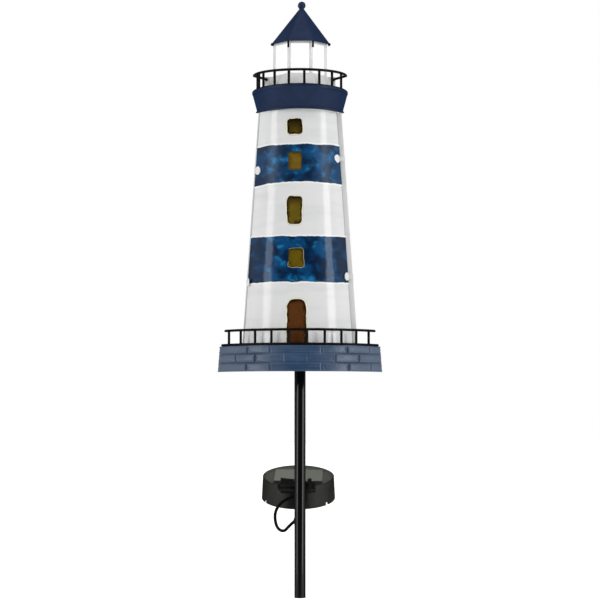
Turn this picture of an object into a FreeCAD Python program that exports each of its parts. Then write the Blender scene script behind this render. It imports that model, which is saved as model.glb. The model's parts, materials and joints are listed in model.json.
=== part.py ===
import FreeCAD, Part
import math
import os
import re
import Sketcher

# Garden lighthouse ornament: a half-round glass tower with a metal frame on a
# ground pole, lit from inside and fed by a solar unit that tilts behind the pole.
# Frame: origin at the centre of the pole's lower end, +Z up, front towards -Y.
# Millimetres and degrees.

Vector = FreeCAD.Vector
Rotation = FreeCAD.Rotation
Placement = FreeCAD.Placement

SIZES = {
    # overall planes
    "back_plane": 10.0,
    "sheet": 1.0,
    "running_gap": 0.05,
    "air_gap": 0.3,
    # pole
    "pole_radius": 7.0,
    "pole_wall": 1.5,
    "pole_length": 296.7,
    "foot_wall": 0.9,
    "foot_bore_depth": 60.0,
    "cord_hole_height": 94.0,
    "cord_hole_radius": 2.9,
    # socket under the base
    "socket_wall": 1.95,
    "socket_grip": 14.0,
    "socket_rise": 13.0,
    "socket_flange": 2.0,
    "lead_hole_radius": 3.5,
    "socket_screw_half": 9.6,
    "screw_radius": 1.5,
    "screw_head_radius": 2.7,
    "screw_head": 1.8,
    "screw_clearance": 0.1,
    # base band, deck and railing
    "base_half": 101.2,
    "base_walk": 9.8,
    "band_height": 30.9,
    "band_flare": 2.5,
    "rail_setback": 2.5,
    "wire_radius": 1.45,
    "baluster_radius": 1.35,
    "elbow_radius": 1.6,
    "base_rail_rise": 19.5,
    "base_rail_half_angle": 55.5,
    "base_sill_half_angle": 59.6,
    "base_baluster_count": 10,
    "base_first_angle": -51.6,
    "base_baluster_step_angle": 11.19,
    # tower
    "tower_height": 294.0,
    "frame_half_bottom": 72.0,
    "frame_half_top": 52.3,
    "frame_front": -6.0,
    "frame_flange": 9.0,
    "glass_setback": 3.4,
    "glass_shift": 2.2,
    "glass_wall": 3.0,
    "glass_sag_bottom": 34.0,
    "glass_sag_top": 24.0,
    "clip_radius": 4.5,
    "clip_sheet": 0.8,
    "clip_inset": 4.3,
    "clip_turn_angle": 50.0,
    "clip_high_right": 235.9,
    "clip_high_left": 220.7,
    "clip_low_right": 88.3,
    "clip_low_left": 82.3,
    # gallery
    "collar_height": 25.8,
    "collar_overhang": 1.4,
    "collar_reach": 3.0,
    "gallery_half": 60.6,
    "gallery_sag": 56.4,
    "back_tab_half": 45.0,
    "back_tab_rise": 21.8,
    "gallery_rail_inset": 2.4,
    "gallery_rail_rise": 21.3,
    "gallery_rail_tilt_angle": 3.5,
    "gallery_rail_half_angle": 86.0,
    "gallery_baluster_count": 8,
    "gallery_first_angle": -70.0,
    "gallery_baluster_step_angle": 18.8,
    "return_end_inset": 2.0,
    "return_end_rise": 18.2,
    "return_foot_radius": 2.0,
    "return_foot": 1.4,
    # lantern and roof
    "lantern_centre": 6.0,
    "lantern_radius": 36.8,
    "lantern_flare": 9.8,
    "lantern_sheet": 0.8,
    "lantern_skirt": 19.0,
    "lantern_window": 39.8,
    "lantern_lintel": 5.1,
    "post_leg": 2.6,
    "outer_post_leg": 4.0,
    "roof_overlap": 3.0,
    "roof_overhang": 4.0,
    "roof_height": 46.9,
    "roof_neck_radius": 3.6,
    "drop_radius": 0.95,
    "drop_length": 8.0,
    "drop_inset": 0.6,
    "eave_ball_radius": 1.3,
    "finial_radius": 5.0,
    "finial_rise": 5.1,
    "finial_foot_radius": 3.2,
    # light board
    "board_half": 6.0,
    "board_rise": 61.3,
    "board_margin": 12.0,
    "board_sheet": 1.6,
    "lamp_count": 5,
    "lamp_step": 40.0,
    "lamp_radius": 2.5,
    "lamp_length": 3.0,
    "plug_half": 4.0,
    "plug_depth": 5.0,
    "plug_height": 8.0,
    "lead_radius": 0.8,
    "lead_drop": 40.0,
    # saddle and hinge behind the pole
    "hinge_height": 134.7,
    "rest_tilt_angle": 15.0,
    "knuckle_radius": 5.5,
    "hinge_pin_radius": 2.0,
    "ear_gap": 0.475,
    "saddle_drop": 22.7,
    "saddle_rise": 7.1,
    "saddle_sheet": 2.0,
    "lug_drop": 1.5,
    "lug_margin": 3.6,
    "knuckle_left": -7.1,
    "knuckle_right": 9.2,
    "saddle_screw_low": 17.7,
    "saddle_screw_high": 10.2,
    "round_screw_across": 9.4,
    "round_screw_rise": 3.1,
    "round_screw_radius": 3.3,
    "round_screw_head": 2.6,
    # solar housing, in its own frame: origin on the hinge, Z along its axis
    "unit_across": -2.0,
    "unit_gap": 0.95,
    "unit_top": -2.1,
    "unit_height": 28.7,
    "unit_radius_top": 45.75,
    "unit_radius_bottom": 47.3,
    "unit_wall": 2.0,
    "recess_depth": 2.0,
    "recess_rim": 2.35,
    "block_left": -24.4,
    "ear_right": 14.7,
    "ear_low": -9.5,
    "ear_high": 8.0,
    "ear_bite": 9.55,
    "notch_half": 2.5,
    "notch_height": 3.5,
    "wafer_half": 30.9,
    "wafer_sheet": 0.8,
    "cover_recess": 2.2,
    "cover_sheet": 2.0,
    "boss_radius": 3.2,
    "cover_screw_radius": 1.05,
    "cover_screw_head_radius": 2.4,
    "cover_screw_length": 9.0,
    "gasket_section": 1.2,
    "tray_wall": 2.8,
    "tray_side": 2.3,
    "tray_back": -10.0,
    "cell_radius": 7.1,
    "cell_half_length": 25.2,
    "contact_sheet": 0.5,
    "circuit_half_length": 21.0,
    "circuit_half_width": 11.0,
    "circuit_back": 17.0,
    "circuit_drop": 5.0,
    "circuit_post_radius": 2.4,
    "chip_half": 3.5,
    "chip_height": 1.4,
    "switch_across": 18.0,
    "switch_back": -27.0,
    "button_radius": 3.0,
    "button_proud": 2.0,
    "button_travel": 1.5,
    "switch_half": 4.5,
    "switch_height": 6.0,
    "gland_left": -4.0,
    "gland_right": 5.0,
    "gland_drop": 13.6,
    "gland_half": 3.4,
    "gland_reach": 4.2,
    "knob_gap": 0.3,
    "knob_radius": 5.2,
    "knob_length": 4.6,
    "knob_lobe_radius": 1.5,
    "knob_lobe_count": 6,
    "nut_half_flats": 3.5,
    "nut_height": 3.0,
    # lead that hangs between the housing and the pole
    "cord_radius": 1.9,
    "grommet_lip": 1.0,
    "grommet_flange": 0.9,
}

# Directions of the three cover screws and the three rim notches, round the housing.
COVER_SCREW_ANGLES = (55, 180, 305)
NOTCH_ANGLES = (-64, 51, 180)

# Route of the hanging lead, from the housing's gland to the hole in the pole.
CORD_ROUTE = [
    (-4.3, 21.0, 122.5),
    (-14.5, 20.8, 120.6),
    (-24.6, 17.0, 115.0),
    (-31.3, 12.0, 104.4),
    (-31.0, 7.2, 92.6),
    (-27.4, 4.8, 83.6),
    (-19.8, 2.4, 80.6),
    (-13.6, 0.8, 87.8),
    (-6.4, 0.0, 94.3),
]

# Where the lead inside the pole turns in from the grommet, and how far its slack
# bends lie from the pole's centre line, from the grommet up.
LEAD_ENTRY = [(-2.8, -0.48, 4.1), (0.5, 0.4, 10.7)]
LEAD_SWAY = [(-1.2, 1.0), (1.4, -1.0), (-1.2, -0.8), (0.6, 0.6)]

SHEET_NAME = "Sizes"
NODES = []

doc = FreeCAD.newDocument("garden_lighthouse")
sheet = doc.addObject("Spreadsheet::Sheet", SHEET_NAME)
for row, (alias, number) in enumerate(SIZES.items(), start=1):
    sheet.set("A%d" % row, alias)
    sheet.set("B%d" % row, str(number))
    sheet.setAlias("B%d" % row, alias)
doc.recompute()

WORDS = re.compile(r"(?<![\w.])(%s)(?!\w)" % "|".join(sorted(SIZES, key=len, reverse=True)))


def bound(text):
    """The expression with each size's name pointed at its cell."""
    return WORDS.sub(SHEET_NAME + r".\1", str(text))


def value(text):
    """What an expression of the sizes comes to now."""
    return float(sheet.evalExpression(bound(text)))


def tie(thing, prop, text):
    """Bind one property of a document object to an expression of the sizes."""
    thing.setExpression(prop, bound(text))


def node(thing, name):
    """Keep a finished object as the sub-part of this name."""
    thing.Label = name
    NODES.append(thing)
    return thing


def move(thing, across=0, back=0, height=0):
    """Place an object by expressions."""
    tie(thing, "Placement.Base.x", across)
    tie(thing, "Placement.Base.y", back)
    tie(thing, "Placement.Base.z", height)
    return thing


def on_unit(thing):
    """Place an object in the solar unit's tilted frame, which sits on the hinge."""
    thing.Placement = Placement(Vector(0, 0, 0), Rotation(Vector(1, 0, 0), value("rest_tilt_angle")))
    tie(thing, "Placement.Base.y", HINGE_BACK)
    tie(thing, "Placement.Base.z", "hinge_height")
    tie(thing, "Placement.Rotation.Angle", "rest_tilt_angle")
    return thing


# ---- primitives ------------------------------------------------------------

def cylinder(name, radius, length, across=0, back=0, height=0, turn=None):
    """A round bar along Z, or along the axis that turn gives."""
    bar = doc.addObject("Part::Cylinder", name)
    tie(bar, "Radius", radius)
    tie(bar, "Height", length)
    if turn:
        bar.Placement = Placement(Vector(0, 0, 0), turn)
    return move(bar, across, back, height)


def box(name, low, high, turn=None):
    """A block between two corners given as expressions."""
    block = doc.addObject("Part::Box", name)
    for prop, a, b in zip(("Length", "Width", "Height"), low, high):
        tie(block, prop, "(%s) - (%s)" % (b, a))
    if turn:
        block.Placement = Placement(Vector(0, 0, 0), turn)
    return move(block, *low)


def ball(name, radius, across, back, height):
    """A sphere."""
    sphere = doc.addObject("Part::Sphere", name)
    tie(sphere, "Radius", radius)
    return move(sphere, across, back, height)


def fuse(name, shapes):
    """One solid, or one group of solids, from several."""
    joined = doc.addObject("Part::MultiFuse", name)
    joined.Shapes = shapes
    joined.Refine = False
    return joined


def cut(name, base, tools):
    """Take tools away from a base."""
    tool = tools[0] if len(tools) == 1 else fuse(name + "_tools", tools)
    result = doc.addObject("Part::Cut", name)
    result.Base = base
    result.Tool = tool
    return result


ALONG_X = Rotation(Vector(0, 1, 0), 90)
ALONG_Y = Rotation(Vector(1, 0, 0), -90)
TO_FRONT = Rotation(Vector(1, 0, 0), 90)


# ---- sketched bodies -------------------------------------------------------

def new_body(name):
    return doc.addObject("PartDesign::Body", name)


def attach(body, name, plane, offset):
    sketch = body.newObject("Sketcher::SketchObject", name)
    face = [item for item in body.Origin.OriginFeatures if item.Role == plane][0]
    sketch.AttachmentSupport = [(face, "")]
    sketch.MapMode = "FlatFace"
    if offset is not None:
        tie(sketch, "AttachmentOffset.Base.z", offset)
    return sketch


def arc_between(start, end, radius):
    """An arc from start to end that keeps its centre on the left of the chord."""
    chord = end - start
    rise = math.sqrt(max(radius * radius - chord.Length ** 2 / 4, 0))
    side = Vector(-chord.y, chord.x, 0).normalize()
    centre = (start + end) * 0.5 + side * (rise if radius > 0 else -rise)
    first = math.atan2(start.y - centre.y, start.x - centre.x)
    last = math.atan2(end.y - centre.y, end.x - centre.x)
    circle = Part.Circle(centre, Vector(0, 0, 1), abs(radius))
    if radius > 0:
        return Part.ArcOfCircle(circle, first, last)
    return Part.ArcOfCircle(circle, last, first)


def outline(body, name, points, plane="XY_Plane", offset=None):
    """A closed sketch. Each point is (x, y) or (x, y, radius) as expressions; a radius
    bends the edge that leaves the point, and runs clockwise when it has a minus sign."""
    sketch = attach(body, name, plane, offset)
    places = [Vector(value(point[0]), value(point[1]), 0) for point in points]
    bends = [point[2] if len(point) > 2 else None for point in points]
    edges = []
    for index, bend in enumerate(bends):
        start, end = places[index], places[(index + 1) % len(points)]
        if bend is None:
            edges.append(Part.LineSegment(start, end))
        else:
            edges.append(arc_between(start, end, value(bend)))
    sketch.addGeometry(edges, False)
    backwards = [bend is not None and value(bend) < 0 for bend in bends]
    for index in range(len(points)):
        after = (index + 1) % len(points)
        leave = 1 if backwards[index] else 2
        enter = 2 if backwards[after] else 1
        sketch.addConstraint(Sketcher.Constraint("Coincident", index, leave, after, enter))
    for index, point in enumerate(points):
        corner = 2 if backwards[index] else 1
        for kind, text, number in (("DistanceX", point[0], places[index].x),
                                   ("DistanceY", point[1], places[index].y)):
            rule = sketch.addConstraint(Sketcher.Constraint(kind, -1, 1, index, corner, number))
            tie(sketch, "Constraints[%d]" % rule, text)
        if bends[index] is not None:
            size = abs(value(bends[index]))
            rule = sketch.addConstraint(Sketcher.Constraint("Radius", index, size))
            tie(sketch, "Constraints[%d]" % rule, "abs(%s)" % bends[index])
    return sketch


def disc(body, name, radius, across="0", back="0", plane="XY_Plane", offset=None):
    """A sketch of one circle."""
    sketch = attach(body, name, plane, offset)
    middle = Vector(value(across), value(back), 0)
    sketch.addGeometry(Part.Circle(middle, Vector(0, 0, 1), value(radius)), False)
    for kind, text, number in (("DistanceX", across, middle.x), ("DistanceY", back, middle.y)):
        rule = sketch.addConstraint(Sketcher.Constraint(kind, -1, 1, 0, 3, number))
        tie(sketch, "Constraints[%d]" % rule, text)
    rule = sketch.addConstraint(Sketcher.Constraint("Radius", 0, value(radius)))
    tie(sketch, "Constraints[%d]" % rule, radius)
    return sketch


def pad(body, sketch, length):
    feature = body.newObject("PartDesign::Pad", sketch.Name + "_pad")
    feature.Profile = sketch
    tie(feature, "Length", length)
    return feature


def turned(body, sketch, angle=None):
    """A revolution about Z, whole or to both sides of the sketch's plane."""
    feature = body.newObject("PartDesign::Revolution", sketch.Name + "_turn")
    feature.Profile = sketch
    feature.ReferenceAxis = (sketch, ["V_Axis"])
    if angle is None:
        feature.Angle = 360
    else:
        feature.Midplane = True
        tie(feature, "Angle", angle)
    return feature


def lofted(body, low, high):
    feature = body.newObject("PartDesign::AdditiveLoft", low.Name + "_loft")
    feature.Profile = low
    feature.Sections = [(high, [""])]
    feature.Ruled = True
    return feature


def facing_front(body, back=0):
    """Turn a body that was revolved about +X so that its middle faces the front."""
    body.Placement = Placement(Vector(0, 0, 0), Rotation(Vector(0, 0, 1), -90))
    return move(body, 0, back, 0)


def wire_arc(name, radius, half_angle, height, back):
    """A bent wire: part of a ring round Z, its middle to the front."""
    body = new_body(name)
    ring = disc(body, name + "_section", "wire_radius", radius, height, "XZ_Plane")
    turned(body, ring, "2 * (%s)" % half_angle)
    return facing_front(body, back)


def tube(name, radius, route):
    """A round lead along straight runs joined by tangent arcs; prints its radii."""
    points = [Vector(*point) for point in route]
    runs = [(b - a).Length for a, b in zip(points, points[1:])]
    edges = []
    radii = []
    start = points[0]
    length = 0.0
    for index in range(1, len(points) - 1):
        corner = points[index]
        into = (corner - points[index - 1]).normalize()
        out = (points[index + 1] - corner).normalize()
        turn = into.getAngle(out)
        back_off = 0.45 * min(runs[index - 1], runs[index])
        bend = back_off / math.tan(turn / 2)
        enter = corner - into * back_off
        leave = corner + out * back_off
        inward = (out - into).normalize()
        middle = corner + inward * (bend / math.cos(turn / 2) - bend)
        edges.append(Part.LineSegment(start, enter).toShape())
        edges.append(Part.Arc(enter, middle, leave).toShape())
        length += (enter - start).Length + bend * turn
        radii.append(bend)
        start = leave
    edges.append(Part.LineSegment(start, points[-1]).toShape())
    length += (points[-1] - start).Length
    path = Part.Wire(edges)
    heading = points[1] - points[0]
    ring = Part.Wire([Part.Circle(points[0], heading, radius).toShape()])
    pipe = path.makePipeShell([ring], True, False)
    wanted = math.pi * radius ** 2 * length
    print("%s: length %.1f, radii %s, volume %.4f of section times length"
          % (name, length, ["%.1f" % bend for bend in radii], pipe.Volume / wanted))
    lead = doc.addObject("Part::Feature", name)
    lead.Shape = pipe
    return node(lead, name)


# ---- values worked out from the sizes --------------------------------------

def bow_radius(half, sag):
    """Radius of an arc across twice half, with its middle sag in front of its ends."""
    return "((%s)^2 + (%s)^2) / (2 * (%s))" % (half, sag, sag)


FOOT_BORE = "(pole_radius - foot_wall)"
SOCKET_RADIUS = "(pole_radius + running_gap + socket_wall)"
SCREW_ROW = "(back_plane - sheet - screw_radius - air_gap)"
SOCKET_FLANGE_RADIUS = ("(sqrt(socket_screw_half^2 + (2 * socket_screw_half - %s)^2)"
                        " + screw_head_radius + air_gap)" % SCREW_ROW)
PLATE_FACE = "(back_plane - sheet)"
BAND_TOP = "(pole_length + socket_rise)"
BAND_BOTTOM = "(pole_length + socket_rise - band_height)"
BAND_SAG = "(back_plane - frame_front + glass_sag_bottom + base_walk)"
BAND_RADIUS = "(%s)" % bow_radius("base_half", BAND_SAG)
BAND_CENTRE = "(back_plane + %s - %s)" % (BAND_RADIUS, BAND_SAG)
DECK_TOP = "(pole_length + socket_rise + sheet)"
BASE_RAIL_RADIUS = "(%s - rail_setback)" % BAND_RADIUS
BASE_RAIL_HEIGHT = "(%s + base_rail_rise)" % DECK_TOP
TOWER_TOP = "(%s + tower_height)" % DECK_TOP
COLLAR_BOTTOM = "(%s + air_gap)" % TOWER_TOP
COLLAR_TOP = "(%s + collar_height)" % COLLAR_BOTTOM
COLLAR_HALF = "(frame_half_top + collar_overhang)"
COLLAR_SAG = "(glass_sag_top - frame_front + collar_reach)"
GALLERY_FLOOR = "(%s + sheet)" % COLLAR_TOP
GALLERY_BOW = "(%s)" % bow_radius("gallery_half", "gallery_sag")
GALLERY_RAIL_RADIUS = "(%s - gallery_rail_inset)" % GALLERY_BOW
GALLERY_RAIL_CENTRE = "(%s - gallery_sag)" % GALLERY_BOW
GALLERY_RAIL_HEIGHT = "(%s + gallery_rail_rise)" % GALLERY_FLOOR
RETURN_END_HALF = "(back_tab_half - return_end_inset)"
RETURN_END_HEIGHT = "(%s + return_end_rise)" % GALLERY_FLOOR
LANTERN_FOOT_RADIUS = "(lantern_radius + lantern_flare)"
LANTERN_SILL = "(%s + lantern_skirt)" % GALLERY_FLOOR
ROOF_RADIUS = "(lantern_radius + roof_overhang)"
ROOF_EAVE = "(%s + lantern_window + lantern_lintel - roof_overlap)" % LANTERN_SILL
ROOF_TOP = "(%s + roof_height)" % ROOF_EAVE
FINIAL_HEIGHT = "(%s + finial_rise)" % ROOF_TOP
BOARD_BOTTOM = "(%s + board_rise)" % DECK_TOP
BOARD_HEIGHT = "((lamp_count - 1) * lamp_step + 2 * board_margin)"
SADDLE_FRONT = "(pole_radius + running_gap / 2)"
SADDLE_REAR = "(pole_radius + running_gap / 2 + saddle_sheet)"
HINGE_BACK = "(%s + ear_gap + knuckle_radius)" % SADDLE_REAR
SADDLE_TOP = "(hinge_height + saddle_rise)"
SADDLE_SCREWS = (("low", "(hinge_height - saddle_screw_low)"), ("high", "(hinge_height - saddle_screw_high)"))
ROUND_SCREW_HEIGHT = "(hinge_height + round_screw_rise)"
UNIT_BACK = "(knuckle_radius + unit_gap + unit_radius_top)"
EAR_ROOT = "(knuckle_radius + unit_gap + ear_bite)"
RECESS_RADIUS = "(unit_radius_top - recess_rim)"
BOSS_CIRCLE = "(unit_radius_top - unit_wall - gasket_section - boss_radius)"
UNIT_FLOOR = "(unit_top - recess_depth)"
UNIT_CEILING = "(unit_top - recess_depth - unit_wall)"
UNIT_BOTTOM = "(unit_top - unit_height)"
COVER_BOTTOM = "(unit_top - unit_height + cover_recess)"
COVER_TOP = "(unit_top - unit_height + cover_recess + cover_sheet)"
TRAY_HALF_LENGTH = "(cell_half_length + 2 * contact_sheet + tray_wall)"
TRAY_HALF_WIDTH = "(cell_radius + tray_side)"
TRAY_HEIGHT = "(cell_radius + 2 * sheet)"


# ---- pole and its socket ---------------------------------------------------

def make_pole():
    body = new_body("pole_tube")
    inner = "pole_radius - pole_wall"
    profile = outline(body, "pole_profile", [
        (FOOT_BORE, "0"),
        ("pole_radius", "0"),
        ("pole_radius", "pole_length"),
        (inner, "pole_length"),
        (inner, "foot_bore_depth"),
        (FOOT_BORE, "foot_bore_depth")], "XZ_Plane")
    turned(body, profile)
    holes = [cylinder("cord_hole", "cord_hole_radius", "pole_radius", "-pole_radius - sheet", 0,
                      "cord_hole_height", ALONG_X)]
    for label, height in SADDLE_SCREWS:
        holes.append(cylinder("pole_screw_hole_" + label, "screw_radius + screw_clearance",
                              "pole_radius", 0, "sheet", height, ALONG_Y))
    node(cut("pole", body, holes), "pole")


def make_socket():
    body = new_body("socket_cup")
    grip = "pole_radius + running_gap"
    profile = outline(body, "socket_profile", [
        (grip, "pole_length - socket_grip"),
        (SOCKET_RADIUS, "pole_length - socket_grip"),
        (SOCKET_RADIUS, BAND_TOP + " - socket_flange"),
        (SOCKET_FLANGE_RADIUS, BAND_TOP + " - socket_flange"),
        (SOCKET_FLANGE_RADIUS, BAND_TOP),
        ("lead_hole_radius", BAND_TOP),
        ("lead_hole_radius", "pole_length"),
        (grip, "pole_length")], "XZ_Plane")
    turned(body, profile)
    holes = [cylinder("flange_hole_%d" % index, "screw_radius + screw_clearance", "2 * socket_flange",
                      across, back, BAND_TOP + " - 1.5 * socket_flange")
             for index, (across, back) in enumerate(socket_screw_places())]
    node(cut("pole_socket", body, holes), "pole_socket")


def socket_screw_places():
    """Four screws in a square, the rear two just in front of the tower's back plate."""
    rows = (SCREW_ROW, SCREW_ROW + " - 2 * socket_screw_half")
    return [(across, back) for across in ("-socket_screw_half", "socket_screw_half") for back in rows]


def make_socket_screws():
    start = BAND_TOP + " - socket_flange - screw_head"
    screws = []
    for index, (across, back) in enumerate(socket_screw_places()):
        head = cylinder("socket_screw_head_%d" % index, "screw_head_radius", "screw_head", across, back,
                        start)
        shank = cylinder("socket_screw_shank_%d" % index, "screw_radius",
                         "screw_head + socket_flange + 2 * sheet", across, back, start)
        screws.append(fuse("socket_screw_%d" % index, [head, shank]))
    node(fuse("socket_screws", screws), "socket_screws")


# ---- base ------------------------------------------------------------------

def make_base():
    band = new_body("base_band")
    profile = outline(band, "band_profile", [
        (BAND_RADIUS + " + band_flare - sheet", BAND_BOTTOM),
        (BAND_RADIUS + " + band_flare", BAND_BOTTOM),
        (BAND_RADIUS, BAND_TOP),
        (BAND_RADIUS + " - sheet", BAND_TOP)], "XZ_Plane")
    turned(band, profile, "2 * asin(base_half / %s)" % BAND_RADIUS)
    node(facing_front(band, BAND_CENTRE), "base_band")

    deck = new_body("base_deck_sheet")
    pad(deck, outline(deck, "deck_outline", [
        ("-base_half", "back_plane", BAND_RADIUS),
        ("base_half", "back_plane")], offset=BAND_TOP), "sheet")
    holes = [cylinder("deck_lead_hole", "lead_hole_radius", "3 * sheet", 0, 0, BAND_TOP + " - sheet")]
    holes += [cylinder("deck_screw_hole_%d" % index, "screw_radius + screw_clearance", "3 * sheet",
                       across, back, BAND_TOP + " - sheet")
              for index, (across, back) in enumerate(socket_screw_places())]
    node(cut("base_deck", deck, holes), "base_deck")

    foot = DECK_TOP + " + wire_radius"
    parts = [wire_arc("base_top_wire", BASE_RAIL_RADIUS, "base_rail_half_angle", BASE_RAIL_HEIGHT,
                      BAND_CENTRE),
             wire_arc("base_sill_wire", BASE_RAIL_RADIUS, "base_sill_half_angle", foot, BAND_CENTRE)]
    for index in range(int(value("base_baluster_count"))):
        angle = "base_first_angle + %d * base_baluster_step_angle" % index
        parts.append(cylinder("base_baluster_%d" % index, "baluster_radius", "base_rail_rise - wire_radius",
                              "%s * sin(%s)" % (BASE_RAIL_RADIUS, angle),
                              "%s - %s * cos(%s)" % (BAND_CENTRE, BASE_RAIL_RADIUS, angle), foot))
    node(fuse("base_railing", parts), "base_railing")


# ---- tower -----------------------------------------------------------------

def tray_points(half):
    """Section of the tower's folded frame: back plate, two sides and two front flanges."""
    right = [("(%s)" % half, "back_plane"),
             ("(%s)" % half, "frame_front"),
             ("(%s) - frame_flange" % half, "frame_front"),
             ("(%s) - frame_flange" % half, "frame_front + sheet"),
             ("(%s) - sheet" % half, "frame_front + sheet"),
             ("(%s) - sheet" % half, "back_plane - sheet")]
    left = [("-(%s)" % across, back) for across, back in reversed(right)]
    return right + left


def make_tower():
    tray = new_body("tower_tray")
    lofted(tray, outline(tray, "tray_low", tray_points("frame_half_bottom"), offset=DECK_TOP),
           outline(tray, "tray_high", tray_points("frame_half_top"), offset=TOWER_TOP))
    tab = box("tower_tab", ("-back_tab_half", PLATE_FACE, TOWER_TOP + " - sheet"),
              ("back_tab_half", "back_plane", GALLERY_FLOOR + " + back_tab_rise"))
    node(fuse("tower_frame", [tray, tab]), "tower_frame")

    glass = new_body("glass_shade")
    sections = []
    for label, half, sag, height in (
            ("glass_low", "frame_half_bottom - glass_setback", "glass_sag_bottom", DECK_TOP),
            ("glass_high", "frame_half_top - glass_setback", "glass_sag_top", TOWER_TOP)):
        radius = bow_radius(half, sag)
        inner = "(%s - glass_wall)" % radius
        seat = "sqrt(%s^2 - (%s - %s)^2)" % (inner, radius, sag)
        sections.append(outline(glass, label, [
            ("-(%s) - glass_shift" % half, "frame_front", radius),
            (half + " - glass_shift", "frame_front"),
            (seat + " - glass_shift", "frame_front", "-" + inner),
            ("-%s - glass_shift" % seat, "frame_front")], offset=height))
    lofted(glass, *sections)
    node(glass, "glass_shade")

    top = new_body("top_plate")
    half = "(frame_half_top - glass_setback - glass_shift)"
    pad(top, outline(top, "top_outline", [
        ("-" + half, "frame_front", bow_radius(half, "glass_sag_top")),
        (half, "frame_front"),
        (half, PLATE_FACE),
        ("-" + half, PLATE_FACE)], offset=TOWER_TOP), "sheet")
    node(top, "top_plate")

    clips = [clip("high_right", 1, "clip_high_right"), clip("high_left", -1, "clip_high_left"),
             clip("low_right", 1, "clip_low_right"), clip("low_left", -1, "clip_low_left")]
    node(fuse("glass_clips", clips), "glass_clips")


def clip(label, side, rise):
    """A round tab folded over the glass's edge, with its stem on the frame's flange."""
    half = "(frame_half_bottom + (frame_half_top - frame_half_bottom) * %s / tower_height)" % rise
    height = "%s + %s" % (DECK_TOP, rise)
    disc_turn = Rotation(Vector(0, 0, 1), side * value("clip_turn_angle")).multiply(TO_FRONT)
    across = "%d * (%s - glass_setback - clip_inset * cos(clip_turn_angle)) - glass_shift" % (side, half)
    back = "frame_front - clip_inset * sin(clip_turn_angle) - clip_sheet"
    tab = cylinder("clip_tab_" + label, "clip_radius", "clip_sheet", across, back, height, disc_turn)
    stem_low = "%s - glass_setback - glass_shift + air_gap" % half
    stem_high = half
    if side < 0:
        stem_low, stem_high = "-" + half, "-(%s - glass_setback + glass_shift + air_gap)" % half
    stem = box("clip_stem_" + label,
               (stem_low, "frame_front - 2.4 * clip_sheet", height + " - clip_radius / 2"),
               (stem_high, "frame_front", height + " + clip_radius / 2"))
    return fuse("clip_" + label, [tab, stem])


# ---- gallery ---------------------------------------------------------------

def bow_sheet(body, label, half, sag, height):
    """A bowed strip's section: the outer arc and an inner one a sheet's thickness inside."""
    radius = bow_radius(half, sag)
    share = "(1 - sheet / (%s))" % radius
    ends = "((%s) - (%s)) * (1 - %s)" % (radius, sag, share)
    return outline(body, label, [
        ("-(%s)" % half, "0", radius),
        (half, "0"),
        ("(%s) * %s" % (half, share), ends, "-((%s) - sheet)" % radius),
        ("-(%s) * %s" % (half, share), ends)], offset=height)


def make_gallery():
    collar = new_body("gallery_collar")
    lofted(collar, bow_sheet(collar, "collar_low", COLLAR_HALF, COLLAR_SAG, COLLAR_BOTTOM),
           bow_sheet(collar, "collar_high", "gallery_half", "gallery_sag", COLLAR_TOP))
    node(collar, "gallery_collar")

    deck = new_body("gallery_deck")
    pad(deck, outline(deck, "gallery_outline", [
        ("-gallery_half", "0", GALLERY_BOW),
        ("gallery_half", "0"),
        ("gallery_half", PLATE_FACE),
        ("-gallery_half", PLATE_FACE)], offset=COLLAR_TOP), "sheet")
    node(deck, "gallery_deck")

    ring = wire_arc("gallery_top_wire", GALLERY_RAIL_RADIUS, "gallery_rail_half_angle", "0", 0)
    front_first = Rotation(Vector(0, 0, 1), -90)
    leaned = Rotation(Vector(1, 0, 0), value("gallery_rail_tilt_angle"))
    ring.Placement.Rotation = leaned.multiply(front_first)
    move(ring, 0, GALLERY_RAIL_CENTRE, GALLERY_RAIL_HEIGHT)
    parts = [ring]
    for index in range(int(value("gallery_baluster_count"))):
        angle = "(gallery_first_angle + %d * gallery_baluster_step_angle)" % index
        across, back, height = gallery_rail_place(angle)
        parts.append(cylinder("gallery_baluster_%d" % index, "baluster_radius",
                              "%s - %s" % (height, GALLERY_FLOOR), across, back, GALLERY_FLOOR))
    parts += return_bar("left", -1) + return_bar("right", 1)
    node(fuse("gallery_railing", parts), "gallery_railing")


def gallery_rail_place(angle):
    """A place on the leaning top rail, at an angle from the front."""
    reach = "(%s * cos(%s))" % (GALLERY_RAIL_RADIUS, angle)
    return ("%s * sin(%s)" % (GALLERY_RAIL_RADIUS, angle),
            "%s - %s * cos(gallery_rail_tilt_angle)" % (GALLERY_RAIL_CENTRE, reach),
            "%s - %s * sin(gallery_rail_tilt_angle)" % (GALLERY_RAIL_HEIGHT, reach))


def return_bar(label, side):
    """The rail's end bent back to the plate behind, with a small foot against it."""
    corner = gallery_rail_place("(%d * gallery_rail_half_angle)" % side)
    start = Vector(*[value(text) for text in corner])
    face = PLATE_FACE + " - return_foot"
    end = Vector(side * value(RETURN_END_HALF), value(face), value(RETURN_END_HEIGHT))
    bar = doc.addObject("Part::Cylinder", "return_bar_" + label)
    tie(bar, "Radius", "baluster_radius")
    bar.Height = (end - start).Length
    bar.Placement = Placement(start, Rotation(Vector(0, 0, 1), end - start))
    elbow = ball("return_elbow_" + label, "elbow_radius", *corner)
    foot = cylinder("return_foot_" + label, "return_foot_radius", "return_foot",
                    "%d * %s" % (side, RETURN_END_HALF), face, RETURN_END_HEIGHT, ALONG_Y)
    return [bar, elbow, foot]


# ---- lantern and roof ------------------------------------------------------

FACET_ANGLES = (-67.5, -22.5, 22.5, 67.5)


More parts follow.
